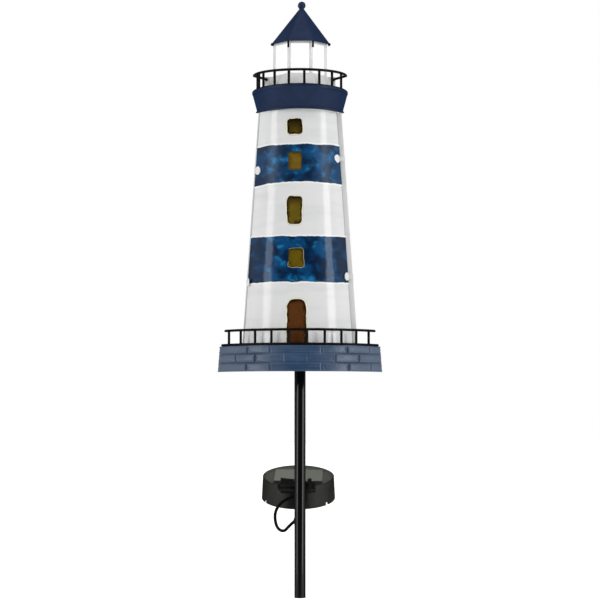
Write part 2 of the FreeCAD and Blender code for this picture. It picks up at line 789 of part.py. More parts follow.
def facet_points(radius, thickness):
    """Three facets of an octagon round the lantern's centre, as a sheet's section."""
    inner = "(%s) - (%s) / cos(22.5)" % (radius, thickness)
    outer_row = [("(%s) * sin(%g)" % (radius, a), "lantern_centre - (%s) * cos(%g)" % (radius, a))
                 for a in FACET_ANGLES]
    inner_row = [("(%s) * sin(%g)" % (inner, a), "lantern_centre - (%s) * cos(%g)" % (inner, a))
                 for a in reversed(FACET_ANGLES)]
    return outer_row + inner_row


def make_lantern():
    skirt = new_body("lantern_skirt")
    lofted(skirt, outline(skirt, "skirt_low", facet_points(LANTERN_FOOT_RADIUS, "lantern_sheet"),
                          offset=GALLERY_FLOOR),
           outline(skirt, "skirt_high", facet_points("lantern_radius", "lantern_sheet"), offset=LANTERN_SILL))
    wall = new_body("lantern_wall")
    pad(wall, outline(wall, "wall_outline", facet_points("lantern_radius", "lantern_sheet"),
                      offset=LANTERN_SILL), "lantern_window + lantern_lintel")
    windows = []
    facet = "lantern_radius * sin(22.5)"
    for label, angle, left, right in (("left", -45, "outer_post_leg", "post_leg"),
                                      ("front", 0, "post_leg", "post_leg"),
                                      ("right", 45, "post_leg", "outer_post_leg")):
        windows.append(facet_window(label, angle, "-%s + %s" % (facet, left), "%s - %s" % (facet, right)))
    node(cut("lantern_frame", fuse("lantern_sheet_metal", [skirt, wall]), windows), "lantern_frame")


def facet_window(label, angle, left, right):
    """A cutter through one facet, between its two posts."""
    cutter = doc.addObject("Part::Box", "window_" + label)
    tie(cutter, "Length", "(%s) - (%s)" % (right, left))
    tie(cutter, "Width", "lantern_radius / 2")
    tie(cutter, "Height", "lantern_window")
    cutter.Placement = Placement(Vector(0, 0, 0), Rotation(Vector(0, 0, 1), angle))
    reach = "(lantern_radius * cos(22.5) + sheet)"
    return move(cutter, "(%s) * cos(%d) + %s * sin(%d)" % (left, angle, reach, angle),
                "lantern_centre + (%s) * sin(%d) - %s * cos(%d)" % (left, angle, reach, angle),
                LANTERN_SILL)


def make_roof():
    roof = new_body("roof")
    lofted(roof, outline(roof, "eave_outline", facet_points(ROOF_RADIUS, "sheet"), offset=ROOF_EAVE),
           outline(roof, "neck_outline", facet_points("roof_neck_radius", "sheet"), offset=ROOF_TOP))
    node(roof, "roof")

    drops = []
    corner = "(%s - drop_inset)" % ROOF_RADIUS
    for label, side in (("left", -1), ("right", 1)):
        drops.append(cylinder("eave_drop_" + label, "drop_radius", "drop_length",
                              "%d * %s * sin(22.5)" % (side, corner),
                              "lantern_centre - %s * cos(22.5)" % corner, ROOF_EAVE + " - drop_length"))
        drops.append(ball("eave_ball_" + label, "eave_ball_radius",
                          "%d * %s * sin(67.5)" % (side, corner),
                          "lantern_centre - %s * cos(67.5)" % corner, ROOF_EAVE + " - eave_ball_radius"))
    node(fuse("eave_drops", drops), "eave_drops")

    knob = ball("finial_sphere", "finial_radius", 0, "lantern_centre", FINIAL_HEIGHT)
    foot = cylinder("finial_foot", "finial_foot_radius", "finial_rise", 0, "lantern_centre", ROOF_TOP)
    node(fuse("finial_ball", [knob, foot]), "finial_ball")


# ---- light inside the tower ------------------------------------------------

def make_light():
    face = PLATE_FACE + " - board_sheet"
    node(box("light_board", ("-board_half", face, BOARD_BOTTOM),
             ("board_half", PLATE_FACE, "%s + %s" % (BOARD_BOTTOM, BOARD_HEIGHT))), "light_board")
    lamps = []
    for index in range(int(value("lamp_count"))):
        height = "%s + board_margin + %d * lamp_step" % (BOARD_BOTTOM, index)
        stem = cylinder("lamp_stem_%d" % index, "lamp_radius", "lamp_length", 0, face, height, TO_FRONT)
        dome = ball("lamp_dome_%d" % index, "lamp_radius", 0, face + " - lamp_length", height)
        lamps.append(fuse("lamp_%d" % index, [stem, dome]))
    node(fuse("light_lamps", lamps), "light_lamps")
    node(box("board_plug", ("-plug_half", face + " - plug_depth", BOARD_BOTTOM),
             ("plug_half", face, BOARD_BOTTOM + " + plug_height")), "board_plug")
    tube("inner_lead", value("lead_radius"), lead_points())


def lead_points():
    """Points of the lead inside the pole: in at the grommet, up to the board's plug."""
    hole = value("cord_hole_height")
    step = (value("pole_length") - hole) / len(LEAD_SWAY)
    plug = value(PLATE_FACE + " - board_sheet - plug_depth / 2")
    end = value(BOARD_BOTTOM)
    points = [CORD_ROUTE[-1]]
    points += [(across, back, hole + rise) for across, back, rise in LEAD_ENTRY]
    points += [(across, back, hole + step * (index + 1)) for index, (across, back) in enumerate(LEAD_SWAY)]
    return points + [(0, plug, end - value("lead_drop")), (0, plug, end)]


# ---- saddle on the pole ----------------------------------------------------

def make_saddle():
    middle = "((knuckle_left + knuckle_right) / 2)"
    half = "((knuckle_right - knuckle_left) / 2)"
    toe_height = "hinge_height - saddle_drop + " + half
    hole_start = "pole_radius - saddle_sheet"
    plate = box("saddle_plate", ("knuckle_left", SADDLE_FRONT, toe_height),
                ("knuckle_right", SADDLE_REAR, SADDLE_TOP))
    toe = cylinder("saddle_toe", half, "saddle_sheet", middle, SADDLE_FRONT, toe_height, ALONG_Y)
    lug = box("saddle_lug", ("0", SADDLE_FRONT, "hinge_height - lug_drop"),
              ("round_screw_across + lug_margin", SADDLE_REAR, SADDLE_TOP))
    barrel = cylinder("saddle_barrel", "knuckle_radius", "knuckle_right - knuckle_left", "knuckle_left",
                      HINGE_BACK, "hinge_height", ALONG_X)
    web = box("saddle_web", ("knuckle_left", SADDLE_FRONT, "hinge_height - knuckle_radius"),
              ("knuckle_right", HINGE_BACK, "hinge_height + knuckle_radius"))
    holes = [cylinder("saddle_pin_hole", "hinge_pin_radius + running_gap", "4 * knuckle_right",
                      "2 * knuckle_left", HINGE_BACK, "hinge_height", ALONG_X),
             cylinder("round_screw_hole", "screw_radius + screw_clearance", "4 * saddle_sheet",
                      "round_screw_across", hole_start, ROUND_SCREW_HEIGHT, ALONG_Y)]
    for label, height in SADDLE_SCREWS:
        holes.append(cylinder("saddle_screw_hole_" + label, "screw_radius + screw_clearance",
                              "4 * saddle_sheet", 0, hole_start, height, ALONG_Y))
    node(cut("pole_saddle", fuse("saddle_solid", [plate, toe, lug, barrel, web]), holes), "pole_saddle")

    screws = []
    for label, height in SADDLE_SCREWS:
        head = cylinder("saddle_screw_head_" + label, "screw_head_radius", "screw_head", 0, SADDLE_REAR,
                        height, ALONG_Y)
        shank = cylinder("saddle_screw_shank_" + label, "screw_radius", "2 * saddle_sheet + pole_wall", 0,
                         SADDLE_REAR + " - 2 * saddle_sheet - pole_wall", height, ALONG_Y)
        screws.append(fuse("saddle_screw_" + label, [head, shank]))
    start = SADDLE_FRONT + " - round_screw_head"
    head = cylinder("round_screw_head", "round_screw_radius", "round_screw_head", "round_screw_across",
                    start, ROUND_SCREW_HEIGHT, ALONG_Y)
    shank = cylinder("round_screw_shank", "screw_radius", "saddle_sheet + round_screw_head",
                     "round_screw_across", start, ROUND_SCREW_HEIGHT, ALONG_Y)
    screws.append(fuse("round_screw", [head, shank]))
    node(fuse("saddle_screws", screws), "saddle_screws")


# ---- solar unit ------------------------------------------------------------

def unit_cylinder(name, radius, length, across, back, height, turn=None):
    """A round bar placed from the housing's own centre line."""
    return cylinder(name, radius, length, "unit_across + (%s)" % across, "%s + (%s)" % (UNIT_BACK, back),
                    height, turn)


def cavity_radius(height):
    """Inner radius of the housing's wall, which widens towards the bottom."""
    return ("(unit_radius_top - unit_wall + (unit_radius_bottom - unit_radius_top) * (unit_top - (%s))"
            " / unit_height)" % height)


def ear(name, left, right):
    """A hinge ear: round nose on the pin, square where it joins the housing."""
    body = new_body(name)
    nose = "knuckle_radius"
    profile = outline(body, name + "_profile", [
        ("0", "-" + nose),
        (nose, "ear_low"),
        (EAR_ROOT, "ear_low"),
        (EAR_ROOT, "ear_high"),
        (nose, "ear_high"),
        ("0", nose, nose),
        ("-" + nose, "0", nose)], "YZ_Plane", left)
    pad(body, profile, "(%s) - (%s)" % (right, left))
    return body


def make_housing():
    shell = doc.addObject("Part::Cone", "housing_solid")
    tie(shell, "Radius1", "unit_radius_bottom")
    tie(shell, "Radius2", "unit_radius_top")
    tie(shell, "Height", "unit_height")
    move(shell, "unit_across", UNIT_BACK, UNIT_BOTTOM)
    block = ear("hinge_block", "block_left", "knuckle_left - air_gap")
    right_ear = ear("hinge_ear", "knuckle_right + air_gap", "ear_right")
    gland = box("gland_block",
                ("gland_left", UNIT_BACK + " - unit_radius_bottom - gland_reach", "-gland_drop - gland_half"),
                ("gland_right", UNIT_BACK + " - unit_radius_top + unit_wall", "-gland_drop + gland_half"))
    cavity = doc.addObject("Part::Cone", "housing_cavity")
    tie(cavity, "Radius1", "unit_radius_bottom - unit_wall")
    tie(cavity, "Radius2", cavity_radius(UNIT_CEILING))
    tie(cavity, "Height", "unit_height - recess_depth - unit_wall")
    move(cavity, "unit_across", UNIT_BACK, UNIT_BOTTOM)
    recess = unit_cylinder("housing_recess", RECESS_RADIUS, "recess_depth + 2 * ear_high", "0", "0",
                           UNIT_FLOOR)
    pin = cylinder("housing_pin_hole", "hinge_pin_radius + running_gap", "2 * (ear_right - block_left)",
                   "2 * block_left", 0, 0, ALONG_X)
    notches = []
    reach = "(unit_radius_bottom + unit_wall)"
    for index, angle in enumerate(NOTCH_ANGLES):
        notch = box("notch_%d" % index, ("0", "0", UNIT_BOTTOM + " - sheet"),
                    ("2 * notch_half", "3 * unit_wall", UNIT_BOTTOM + " + notch_height"))
        notch.Placement.Rotation = Rotation(Vector(0, 0, 1), angle)
        across = "unit_across - notch_half * cos(%d) + %s * sin(%d)" % (angle, reach, angle)
        back = "%s - notch_half * sin(%d) - %s * cos(%d)" % (UNIT_BACK, angle, reach, angle)
        notches.append(move(notch, across, back, UNIT_BOTTOM + " - sheet"))
    hollow = cut("housing_shell", fuse("housing_outside", [shell, block, right_ear, gland]),
                 [cavity, recess, pin] + notches)
    inside = []
    for index, (across, back) in enumerate(cover_screw_places()):
        inside.append(unit_cylinder("boss_%d" % index, "boss_radius",
                                    "%s - %s" % (UNIT_CEILING, COVER_TOP), across, back, COVER_TOP))
    for index, side in enumerate((-1, 1)):
        inside.append(unit_cylinder("circuit_post_%d" % index, "circuit_post_radius", "circuit_drop",
                                    "%d * circuit_half_length / 2" % side, "circuit_back",
                                    UNIT_CEILING + " - circuit_drop"))
    pilots = [unit_cylinder("pilot_%d" % index, "cover_screw_radius + running_gap", "cover_screw_length",
                            across, back, COVER_TOP)
              for index, (across, back) in enumerate(cover_screw_places())]
    solid = cut("solar_housing", fuse("housing_with_bosses", [hollow] + inside), pilots)
    node(on_unit(solid), "solar_housing")


def cover_screw_places():
    """Three screws round the bottom cover."""
    return [("%s * sin(%d)" % (BOSS_CIRCLE, angle), "-%s * cos(%d)" % (BOSS_CIRCLE, angle))
            for angle in COVER_SCREW_ANGLES]


def make_unit_cover():
    bore = "(%s - air_gap)" % cavity_radius(COVER_TOP)
    plate = unit_cylinder("cover_plate", bore, "cover_sheet", "0", "0", COVER_BOTTOM)
    holes = [unit_cylinder("cover_hole_%d" % index, "cover_screw_radius + screw_clearance", "3 * cover_sheet",
                           across, back, COVER_BOTTOM + " - cover_sheet")
             for index, (across, back) in enumerate(cover_screw_places())]
    holes.append(unit_cylinder("button_hole", "button_radius + air_gap", "3 * cover_sheet", "switch_across",
                               "switch_back", COVER_BOTTOM + " - cover_sheet"))
    node(on_unit(cut("unit_cover", plate, holes)), "unit_cover")

    screws = []
    for index, (across, back) in enumerate(cover_screw_places()):
        head = unit_cylinder("cover_screw_head_%d" % index, "cover_screw_head_radius", "screw_head",
                             across, back, COVER_BOTTOM + " - screw_head")
        shank = unit_cylinder("cover_screw_shank_%d" % index, "cover_screw_radius", "cover_screw_length",
                              across, back, COVER_BOTTOM + " - sheet / 2")
        screws.append(fuse("cover_screw_%d" % index, [head, shank]))
    node(on_unit(fuse("cover_screws", screws)), "cover_screws")

    ring_outer = "(%s - 2 * air_gap)" % cavity_radius(COVER_TOP + " + gasket_section")
    ring = unit_cylinder("gasket_outside", ring_outer, "gasket_section", "0", "0", COVER_TOP)
    hole = unit_cylinder("gasket_inside", ring_outer + " - gasket_section", "3 * gasket_section", "0", "0",
                         COVER_TOP + " - gasket_section")
    node(on_unit(cut("cover_gasket", ring, [hole])), "cover_gasket")


def make_wafer():
    wafer = box("wafer_square",
                ("unit_across - wafer_half", UNIT_BACK + " - wafer_half", UNIT_FLOOR),
                ("unit_across + wafer_half", UNIT_BACK + " + wafer_half", UNIT_FLOOR + " + wafer_sheet"))
    trimmed = doc.addObject("Part::Common", "wafer_trimmed")
    trimmed.Base = wafer
    trimmed.Tool = unit_cylinder("wafer_round", RECESS_RADIUS + " - air_gap", "3 * wafer_sheet", "0", "0",
                                 UNIT_FLOOR + " - wafer_sheet")
    node(on_unit(trimmed), "solar_wafer")


def make_battery():
    axis_height = COVER_TOP + " + sheet + cell_radius + running_gap"
    cell_start = "-cell_half_length"
    middle = UNIT_BACK + " + tray_back"
    tray = box("tray_block",
               ("unit_across - " + TRAY_HALF_LENGTH, "%s - %s" % (middle, TRAY_HALF_WIDTH), COVER_TOP),
               ("unit_across + " + TRAY_HALF_LENGTH, "%s + %s" % (middle, TRAY_HALF_WIDTH),
                "%s + %s" % (COVER_TOP, TRAY_HEIGHT)))
    hollow = unit_cylinder("tray_hollow", "cell_radius + running_gap",
                           "2 * (cell_half_length + 2 * contact_sheet)",
                           "-cell_half_length - 2 * contact_sheet", "tray_back", axis_height, ALONG_X)
    node(on_unit(cut("battery_tray", tray, [hollow])), "battery_tray")
    can = unit_cylinder("battery_can", "cell_radius", "2 * cell_half_length - sheet", cell_start, "tray_back",
                        axis_height, ALONG_X)
    tip = unit_cylinder("battery_tip", "cell_radius / 3", "2 * cell_half_length", cell_start, "tray_back",
                        axis_height, ALONG_X)
    node(on_unit(fuse("battery_cell", [can, tip])), "battery_cell")
    contacts = [unit_cylinder("contact_%d" % index, "cell_radius - air_gap", "contact_sheet", start,
                              "tray_back", axis_height, ALONG_X)
                for index, start in enumerate(("-cell_half_length - contact_sheet", "cell_half_length"))]
    node(on_unit(fuse("battery_contacts", contacts)), "battery_contacts")


def make_circuit():
    top = UNIT_CEILING + " - circuit_drop"
    underside = top + " - board_sheet"
    middle = UNIT_BACK + " + circuit_back"
    board = box("circuit_sheet",
                ("unit_across - circuit_half_length", middle + " - circuit_half_width", underside),
                ("unit_across + circuit_half_length", middle + " + circuit_half_width", top))
    chip = box("circuit_chip",
               ("unit_across - chip_half", middle + " - chip_half", underside + " - chip_height"),
               ("unit_across + chip_half", middle + " + chip_half", underside))
    node(on_unit(fuse("circuit_board", [board, chip])), "circuit_board")


def make_switch():
    across = "unit_across + switch_across"
    back = UNIT_BACK + " + switch_back"
    case = box("switch_block", (across + " - switch_half", back + " - switch_half", COVER_TOP),
               (across + " + switch_half", back + " + switch_half", COVER_TOP + " + switch_height"))
    well = unit_cylinder("switch_well", "button_radius + air_gap", "button_travel + 2 * sheet",
                         "switch_across", "switch_back", COVER_TOP)
    node(on_unit(cut("switch_case", case, [well])), "switch_case")
    stem = unit_cylinder("button_stem", "button_radius", "button_proud + cover_sheet", "switch_across",
                         "switch_back", COVER_BOTTOM + " - button_proud")
    core = unit_cylinder("button_core", "button_radius - sheet", "button_proud + cover_sheet + sheet",
                         "switch_across", "switch_back", COVER_BOTTOM + " - button_proud")
    node(on_unit(fuse("switch_button", [stem, core])), "switch_button")


def make_clamp():
    grip_start = "ear_right + knob_gap"
    grip = cylinder("knob_grip", "knob_radius", "knob_length", grip_start, 0, 0, ALONG_X)
    lobes = []
    for index in range(int(value("knob_lobe_count"))):
        angle = "(%d * 360 / knob_lobe_count)" % index
        lobes.append(cylinder("knob_lobe_%d" % index, "knob_lobe_radius", "knob_length", grip_start,
                              "knob_radius * cos(%s)" % angle, "knob_radius * sin(%s)" % angle, ALONG_X))
    shaft = cylinder("knob_shaft", "hinge_pin_radius", "%s - block_left + nut_height + sheet" % grip_start,
                     "block_left - nut_height - sheet", 0, 0, ALONG_X)
    node(on_unit(fuse("clamp_knob", [grip, shaft] + lobes)), "clamp_knob")

    body = new_body("hinge_nut_blank")
    corner = "nut_half_flats / cos(30)"
    hexagon = [("(%s) * cos(%d)" % (corner, angle), "(%s) * sin(%d)" % (corner, angle))
               for angle in range(0, 360, 60)]
    pad(body, outline(body, "nut_outline", hexagon, "YZ_Plane", "block_left - nut_height"), "nut_height")
    bore = cylinder("nut_bore", "hinge_pin_radius + running_gap", "3 * nut_height",
                    "block_left - 2 * nut_height", 0, 0, ALONG_X)
    node(on_unit(cut("hinge_nut", body, [bore])), "hinge_nut")


def make_cord():
    tube("solar_cord", value("cord_radius"), CORD_ROUTE)
    start = "-pole_radius - grommet_flange"
    flange = cylinder("grommet_head", "cord_hole_radius + grommet_lip", "grommet_flange + sheet", start, 0,
                      "cord_hole_height", ALONG_X)
    neck = cylinder("grommet_neck", "cord_hole_radius - running_gap", "grommet_flange + pole_wall", start, 0,
                    "cord_hole_height", ALONG_X)
    wall = cylinder("grommet_seat", "pole_radius + running_gap", "4 * cord_hole_radius", 0, 0,
                    "cord_hole_height - 2 * cord_hole_radius")
    bore = cylinder("grommet_bore", "cord_radius", "2 * pole_radius", "-2 * pole_radius", 0,
                    "cord_hole_height", ALONG_X)
    flange_part = cut("grommet_flange_part", flange, [wall])
    node(cut("cord_grommet", fuse("grommet_solid", [flange_part, neck]), [bore]), "cord_grommet")


def check_and_write():
    """Stop on any failed object or bad shape, then write one file for each sub-part."""
    doc.recompute()
    for thing in doc.Objects:
        if "Invalid" in thing.State or "Error" in thing.State:
            raise RuntimeError("%s did not build: %s" % (thing.Name, thing.State))
    for thing in NODES:
        if thing.Shape.isNull() or not thing.Shape.isValid() or not thing.Shape.Solids:
            raise RuntimeError("%s has a bad shape" % thing.Label)
    os.makedirs("parts", exist_ok=True)
    for thing in NODES:
        thing.Shape.exportStep("parts/%s.step" % thing.Label)
    print("%d sub-parts written" % len(NODES))


make_pole()
make_socket()
make_socket_screws()
make_base()
make_tower()
make_gallery()
make_lantern()
make_roof()
make_light()
make_saddle()
make_housing()
make_unit_cover()
make_wafer()
make_battery()
make_circuit()
make_switch()
make_clamp()
make_cord()
check_and_write()
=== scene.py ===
"""Garden lighthouse ornament: the finished look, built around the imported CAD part."""

import json
import math

import bmesh
import bpy
import numpy as np
from bpy.props import FloatProperty, FloatVectorProperty, IntProperty, PointerProperty
from bpy.types import NodeSocket, Operator, Panel, PropertyGroup
from mathutils import Matrix, Vector, noise

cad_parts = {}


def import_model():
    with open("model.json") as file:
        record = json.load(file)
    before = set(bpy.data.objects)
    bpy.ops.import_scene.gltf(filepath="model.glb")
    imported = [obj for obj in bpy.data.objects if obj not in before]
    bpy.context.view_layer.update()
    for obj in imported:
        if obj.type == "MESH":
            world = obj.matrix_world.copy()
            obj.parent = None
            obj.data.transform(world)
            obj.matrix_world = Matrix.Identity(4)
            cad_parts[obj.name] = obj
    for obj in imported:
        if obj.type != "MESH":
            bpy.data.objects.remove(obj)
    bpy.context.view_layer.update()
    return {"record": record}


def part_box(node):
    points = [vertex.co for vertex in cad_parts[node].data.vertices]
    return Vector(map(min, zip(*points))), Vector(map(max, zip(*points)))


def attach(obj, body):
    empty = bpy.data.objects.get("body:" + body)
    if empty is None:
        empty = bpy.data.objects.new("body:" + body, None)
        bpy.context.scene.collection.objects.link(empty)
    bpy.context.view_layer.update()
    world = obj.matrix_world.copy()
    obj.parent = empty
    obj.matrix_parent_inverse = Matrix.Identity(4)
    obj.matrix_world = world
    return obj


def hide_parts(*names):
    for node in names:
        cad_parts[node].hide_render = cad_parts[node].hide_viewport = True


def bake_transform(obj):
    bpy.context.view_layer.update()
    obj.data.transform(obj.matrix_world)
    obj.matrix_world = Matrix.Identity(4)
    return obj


bl_info = {
    "name": "Garden Lighthouse Ornament",
    "version": (1, 0, 0),
    "blender": (4, 5, 0),
    "location": "3D View > Sidebar > Lighthouse",
    "description": "Builds the painted looks of a garden lighthouse ornament",
    "category": "Object",
}

MM = 0.001

# Windows and door on the glass, in millimetres: middle across, top and bottom height,
# half width at the top and at the bottom, corner radius, width of the cream line
# around it, depth of the dark shade at its top, and the colours of the shade and below.
PANES = (
    (-6.4, 592.8, 573.2, 9.3, 9.3, 4.0, 1.3, 20.0, "#120A05", "#55460F"),  # lantern window
    (-6.3, 551.4, 528.0, 8.3, 8.5, 3.0, 0.0, 3.0, "#544410", "#705A14"),  # upper window
    (-6.8, 495.4, 460.4, 9.6, 8.7, 5.0, 1.4, 13.0, "#22160A", "#665616"),  # middle window
    (-4.9, 430.5, 406.7, 8.9, 9.6, 3.0, 0.18, 4.0, "#4E400A", "#64540C"),  # lower window
    (-4.2, 367.4, 290.0, 11.6, 12.2, 9.5, 1.5, 7.0, "#34200E", "#593416"),  # door
)

# Blue bands on the glass: heights of the lower and the upper edge at the left, in the
# middle and at the right, in millimetres.
BANDS = (
    ((510.6, 513.2, 512.4), (560.6, 560.9, 562.2)),
    ((388.0, 388.9, 389.2), (446.6, 445.8, 447.6)),
)

# Courses of the brick pattern: lower and upper edge, and the upright joints along the
# arc, in millimetres.
COURSES = (
    (300.6, 312.0, (-69.3, -37.6, 26.3, 61.2, 98.2)),
    (289.4, 300.6, (-88.4, -57.9, -20.9, 9.3, 44.4, 79.3)),
    (277.0, 289.4, (-70.8, -37.6, 26.3, 63.6, 100.4)),
)

# How each clip differs from its CAD node, by whether it is at the right and whether it is
# high: its scale, and its shift in millimetres.
CLIP_CHANGES = {
    (True, True): ((1.25, 1.0, 1.15), (-1.4, 0.0, -1.0)),
    (False, True): ((1.15, 1.0, 1.15), (0.4, 0.0, -0.8)),
    (True, False): ((1.0, 1.0, 1.12), (0.6, 0.0, -1.5)),
    (False, False): ((0.55, 1.0, 1.1), (-1.5, 0.0, -2.5)),
}
HIGH_CLIPS = 470 * MM
# The clips' stem faces lie between these depths, and are drawn forwards by the last.
STEM_BACK, STEM_FRONT, STEM_DRAW = -7.5 * MM, -8.1 * MM, 1.8 * MM

# The same for the drops under the eave: two balls farther out than OUTER_DROPS, two stubs.
BALL, STUB = (1.5, 1.5, 1.5), (1.3, 1.3, 1.0)
DROP_CHANGES = {
    (True, True): (BALL, (-1.3, 0.0, 1.6)), (False, True): (BALL, (1.3, 0.0, 1.6)),
    (True, False): (STUB, (0.0, 0.0, 0.0)), (False, False): (STUB, (0.0, 0.0, 0.0)),
}
OUTER_DROPS = 30 * MM

# The photographed roof sits to the right, leans that way and has a lower eave, on posts
# that end above POST_HEADS.
ROOF_SHIFT, ROOF_LEAN, EAVE_SINK, POST_HEADS = 0.9 * MM, 0.024, 2.2 * MM, 685 * MM

# Rolled lips of the collar's lower and upper edge: rise and outward step.
LIP_RADIUS = 1.2 * MM
LIPS = ((1.2 * MM, 0.9 * MM), (-1.9 * MM, -1.25 * MM))

# Ends of the gallery's rail on the frame: place across, back and up, length and radius.
TAB_ACROSS, TAB_BACK, TAB_HEIGHT, TAB_LENGTH, TAB_RADIUS = 43 * MM, 7.6 * MM, 650 * MM, 1.2 * MM, 1.8 * MM

# The gallery's lower wire on the collar's brim: radius, rise, step in and share of the brim.
SILL_RADIUS, SILL_RISE, SILL_IN, SILL_SHARE = 0.9 * MM, 0.45 * MM, 0.9 * MM, 0.98

# Route of the hanging lead from the solar unit to the pole, in millimetres.
LEAD_ROUTE = (
    (-4.3, 21.0, 122.5), (-14.5, 20.8, 120.6), (-24.6, 17.0, 115.0), (-31.3, 12.0, 104.4), (-31.0, 7.2, 92.6),
    (-27.4, 4.8, 83.6), (-19.8, 2.4, 80.6), (-13.6, 0.8, 87.8), (-6.4, 0.0, 94.3),
)

# Finishes of the small fittings and the parts inside, by slot: name, colour, roughness,
# metallic and grain.
FITTINGS = {
    "circuit_laminate": ("Green solder mask", "#1E5B32", 0.35),
    "lamp_resin": ("Milky lamp resin", "#F4E9C2", 0.2),
    "white_plastic": ("White nylon", "#E8E8E2", 0.35),
    "lead_jacket": ("Matt lead jacket", "#121212", 0.5),
    "grommet_rubber": ("Black grommet rubber", "#171717", 0.6, 0.0, 0.04 * MM),
    "button_rubber": ("Grey button rubber", "#3A3A3C", 0.6, 0.0, 0.04 * MM),
    "zinc_screw": ("Bright zinc plate", "#B9BAB4", 0.28, 1.0),
    "black_plastic": ("Inner black moulding", "#2A2A28", 0.5, 0.0, 0.05 * MM),
    "cell_sleeve": ("Green cell sleeve", "#2F7A4C", 0.3),
    "contact_metal": ("Nickel contact strip", "#C9BE9A", 0.3, 1.0),
    "black_screw": ("Plain black screw", "#202024", 0.35, 0.8),
}


def linear(text):
    """An sRGB hex colour as linear red, green, blue and alpha."""
    parts = [int(text[at:at + 2], 16) / 255 for at in (1, 3, 5)]
    return tuple(c / 12.92 if c <= 0.04045 else ((c + 0.055) / 1.055) ** 2.4 for c in parts) + (1.0,)


def colour(text, about):
    """A colour setting with an sRGB hex default."""
    return FloatVectorProperty, {"description": about, "default": linear(text), "subtype": "COLOR",
                                 "size": 4, "min": 0, "max": 1}


def length(size, about):
    """A length setting, its default in millimetres."""
    return FloatProperty, {"description": about, "default": size * MM, "unit": "LENGTH", "precision": 5}


def angle(degrees, about):
    """An angle setting, its default in degrees."""
    return FloatProperty, {"description": about, "default": math.radians(degrees), "subtype": "ANGLE"}


def number(default, about):
    """A plain setting, whole where its default is."""
    kind = IntProperty if isinstance(default, int) else FloatProperty
    return kind, {"description": about, "default": default}


def named(group):
    """Makes a property group's settings, each named after its field."""
    for field, (kind, options) in group.__annotations__.items():
        group.__annotations__[field] = kind(name=field.replace("_", " ").capitalize(), **options)
    return group


@named
class LIGHTHOUSE_PG_stage(PropertyGroup):
    camera_distance: length(1875, "From the pole's axis to the camera")
    camera_height: length(247, "Height of the camera above the ground")
    camera_pitch: angle(3.717, "Upward tilt of the camera")
    lens: number(90.0, "Focal length in millimetres on a 36 mm sensor")
    left_bearing: angle(58, "Bearing of the left softbox from the front")
    right_bearing: angle(61, "Bearing of the right softbox from the front")
    left_power: number(14.0, "Power of the left softbox, in watts")
    right_power: number(17.0, "Power of the right softbox, in watts")
    top_power: number(3.0, "Power of the overhead softbox, in watts")
    fill: number(0.86, "Strength of the even light from all round")


@named
class LIGHTHOUSE_PG_paint(PropertyGroup):
    white: colour("#F1F2F1", "Enamel on the frame and the lantern")
    wall: colour("#EEEFEE", "White paint on the glass")
    navy: colour("#1A2D4E", "Enamel on the collar, the roof and the ball")
    slate: colour("#294363", "Paint on the brick band")
    slate_light: colour("#5B7392", "Lighter streaks on the brick band")
    wire: colour("#060607", "Paint on the railings")
    pole: colour("#060608", "Powder coat on the pole")
    deep_blue: colour("#08213F", "Ground of the glass's blue bands")
    mid_blue: colour("#0C4A7C", "Clouds in the blue bands")
    clear_blue: colour("#1C84BA", "Brightest patches in the blue bands")
    cream: colour("#FBF2D6", "Line around the windows")
    moulding: colour("#1A1A18", "Black plastic of the solar unit")
    cell: colour("#82857B", "Solar cell under its resin")
    jacket: colour("#101011", "Jacket of the leads")


@named
class LIGHTHOUSE_PG_glass(PropertyGroup):
    columns: number(216, "Faces across the painted face")
    rows: number(384, "Faces up the painted face")
    step: number(4, "Front faces to one at the back")
    wall: length(3.0, "Thickness of the glass")
    outline_rise: length(0.6, "Height of the raised line round each window")
    outline_width: length(1.3, "Width of the raised lines")
    ripple: length(0.12, "Height of the glass's slow waves")


@named
class LIGHTHOUSE_PG_band(PropertyGroup):
    columns: number(640, "Faces along the band")
    rows: number(96, "Faces up the band")
    sheet: length(1.0, "Thickness of the embossed sheet")
    joint_width: length(1.3, "Width of the pressed joints")
    joint_depth: length(1.2, "Depth of the pressed joints")
    scallop: length(1.1, "Depth of the bites in the band's ends")


@named
class LIGHTHOUSE_PG_rails(PropertyGroup):
    wire: length(1.6, "Radius of the long wires")
    upright: length(1.6, "Radius of the balusters")
    bead: length(2.05, "Radius of the weld at each end of a baluster")
    base_setback: length(2.5, "From the band's face to the wires' middle")
    base_half: angle(55.5, "Half angle of the base's top rail")
    sill_half: angle(59.6, "Half angle of the base's lower wire")
    base_first: angle(-51.6, "Angle of the base's first baluster")
    base_step: angle(11.19, "Angle between the base's balusters")
    base_count: number(10, "Number of balusters on the base")
    gallery_radius: length(58.356, "Radius of the gallery's top rail")
    gallery_centre: length(4.356, "How far back the gallery rail's centre is")
    gallery_rail: length(653.1, "Height of the gallery rail's centre")
    gallery_tilt: angle(3.5, "Forward lean of the gallery's top rail")
    gallery_half: angle(86, "Half angle of the gallery's top rail")
    gallery_first: angle(-51.2, "Angle of the gallery's first single baluster")
    gallery_step: angle(18.8, "Angle between the gallery's balusters")
    twin: angle(-65.4, "Angle of the first of the two posts at the gallery's left end")
    twin_step: angle(4.4, "Angle between those two posts")
    gallery_count: number(7, "Number of single balusters on the gallery")


@named
class LIGHTHOUSE_PG_unit(PropertyGroup):
    hinge_back: length(15.0, "How far behind the pole's axis the hinge is")
    hinge_height: length(134.7, "Height of the hinge above the ground")
    rest_tilt: angle(15, "Tilt of the solar unit in the photo's pose")
    lead_radius: length(1.9, "Radius of the hanging lead")
    lead_length: length(84.5, "Length of the hanging lead")
    block_reach: length(7.5, "How far behind the hinge its dark block ends")
    cell_turn: angle(2, "How far the cell sits turned in its recess")
    finger: length(2.4, "Space between the fine lines on the solar cell")


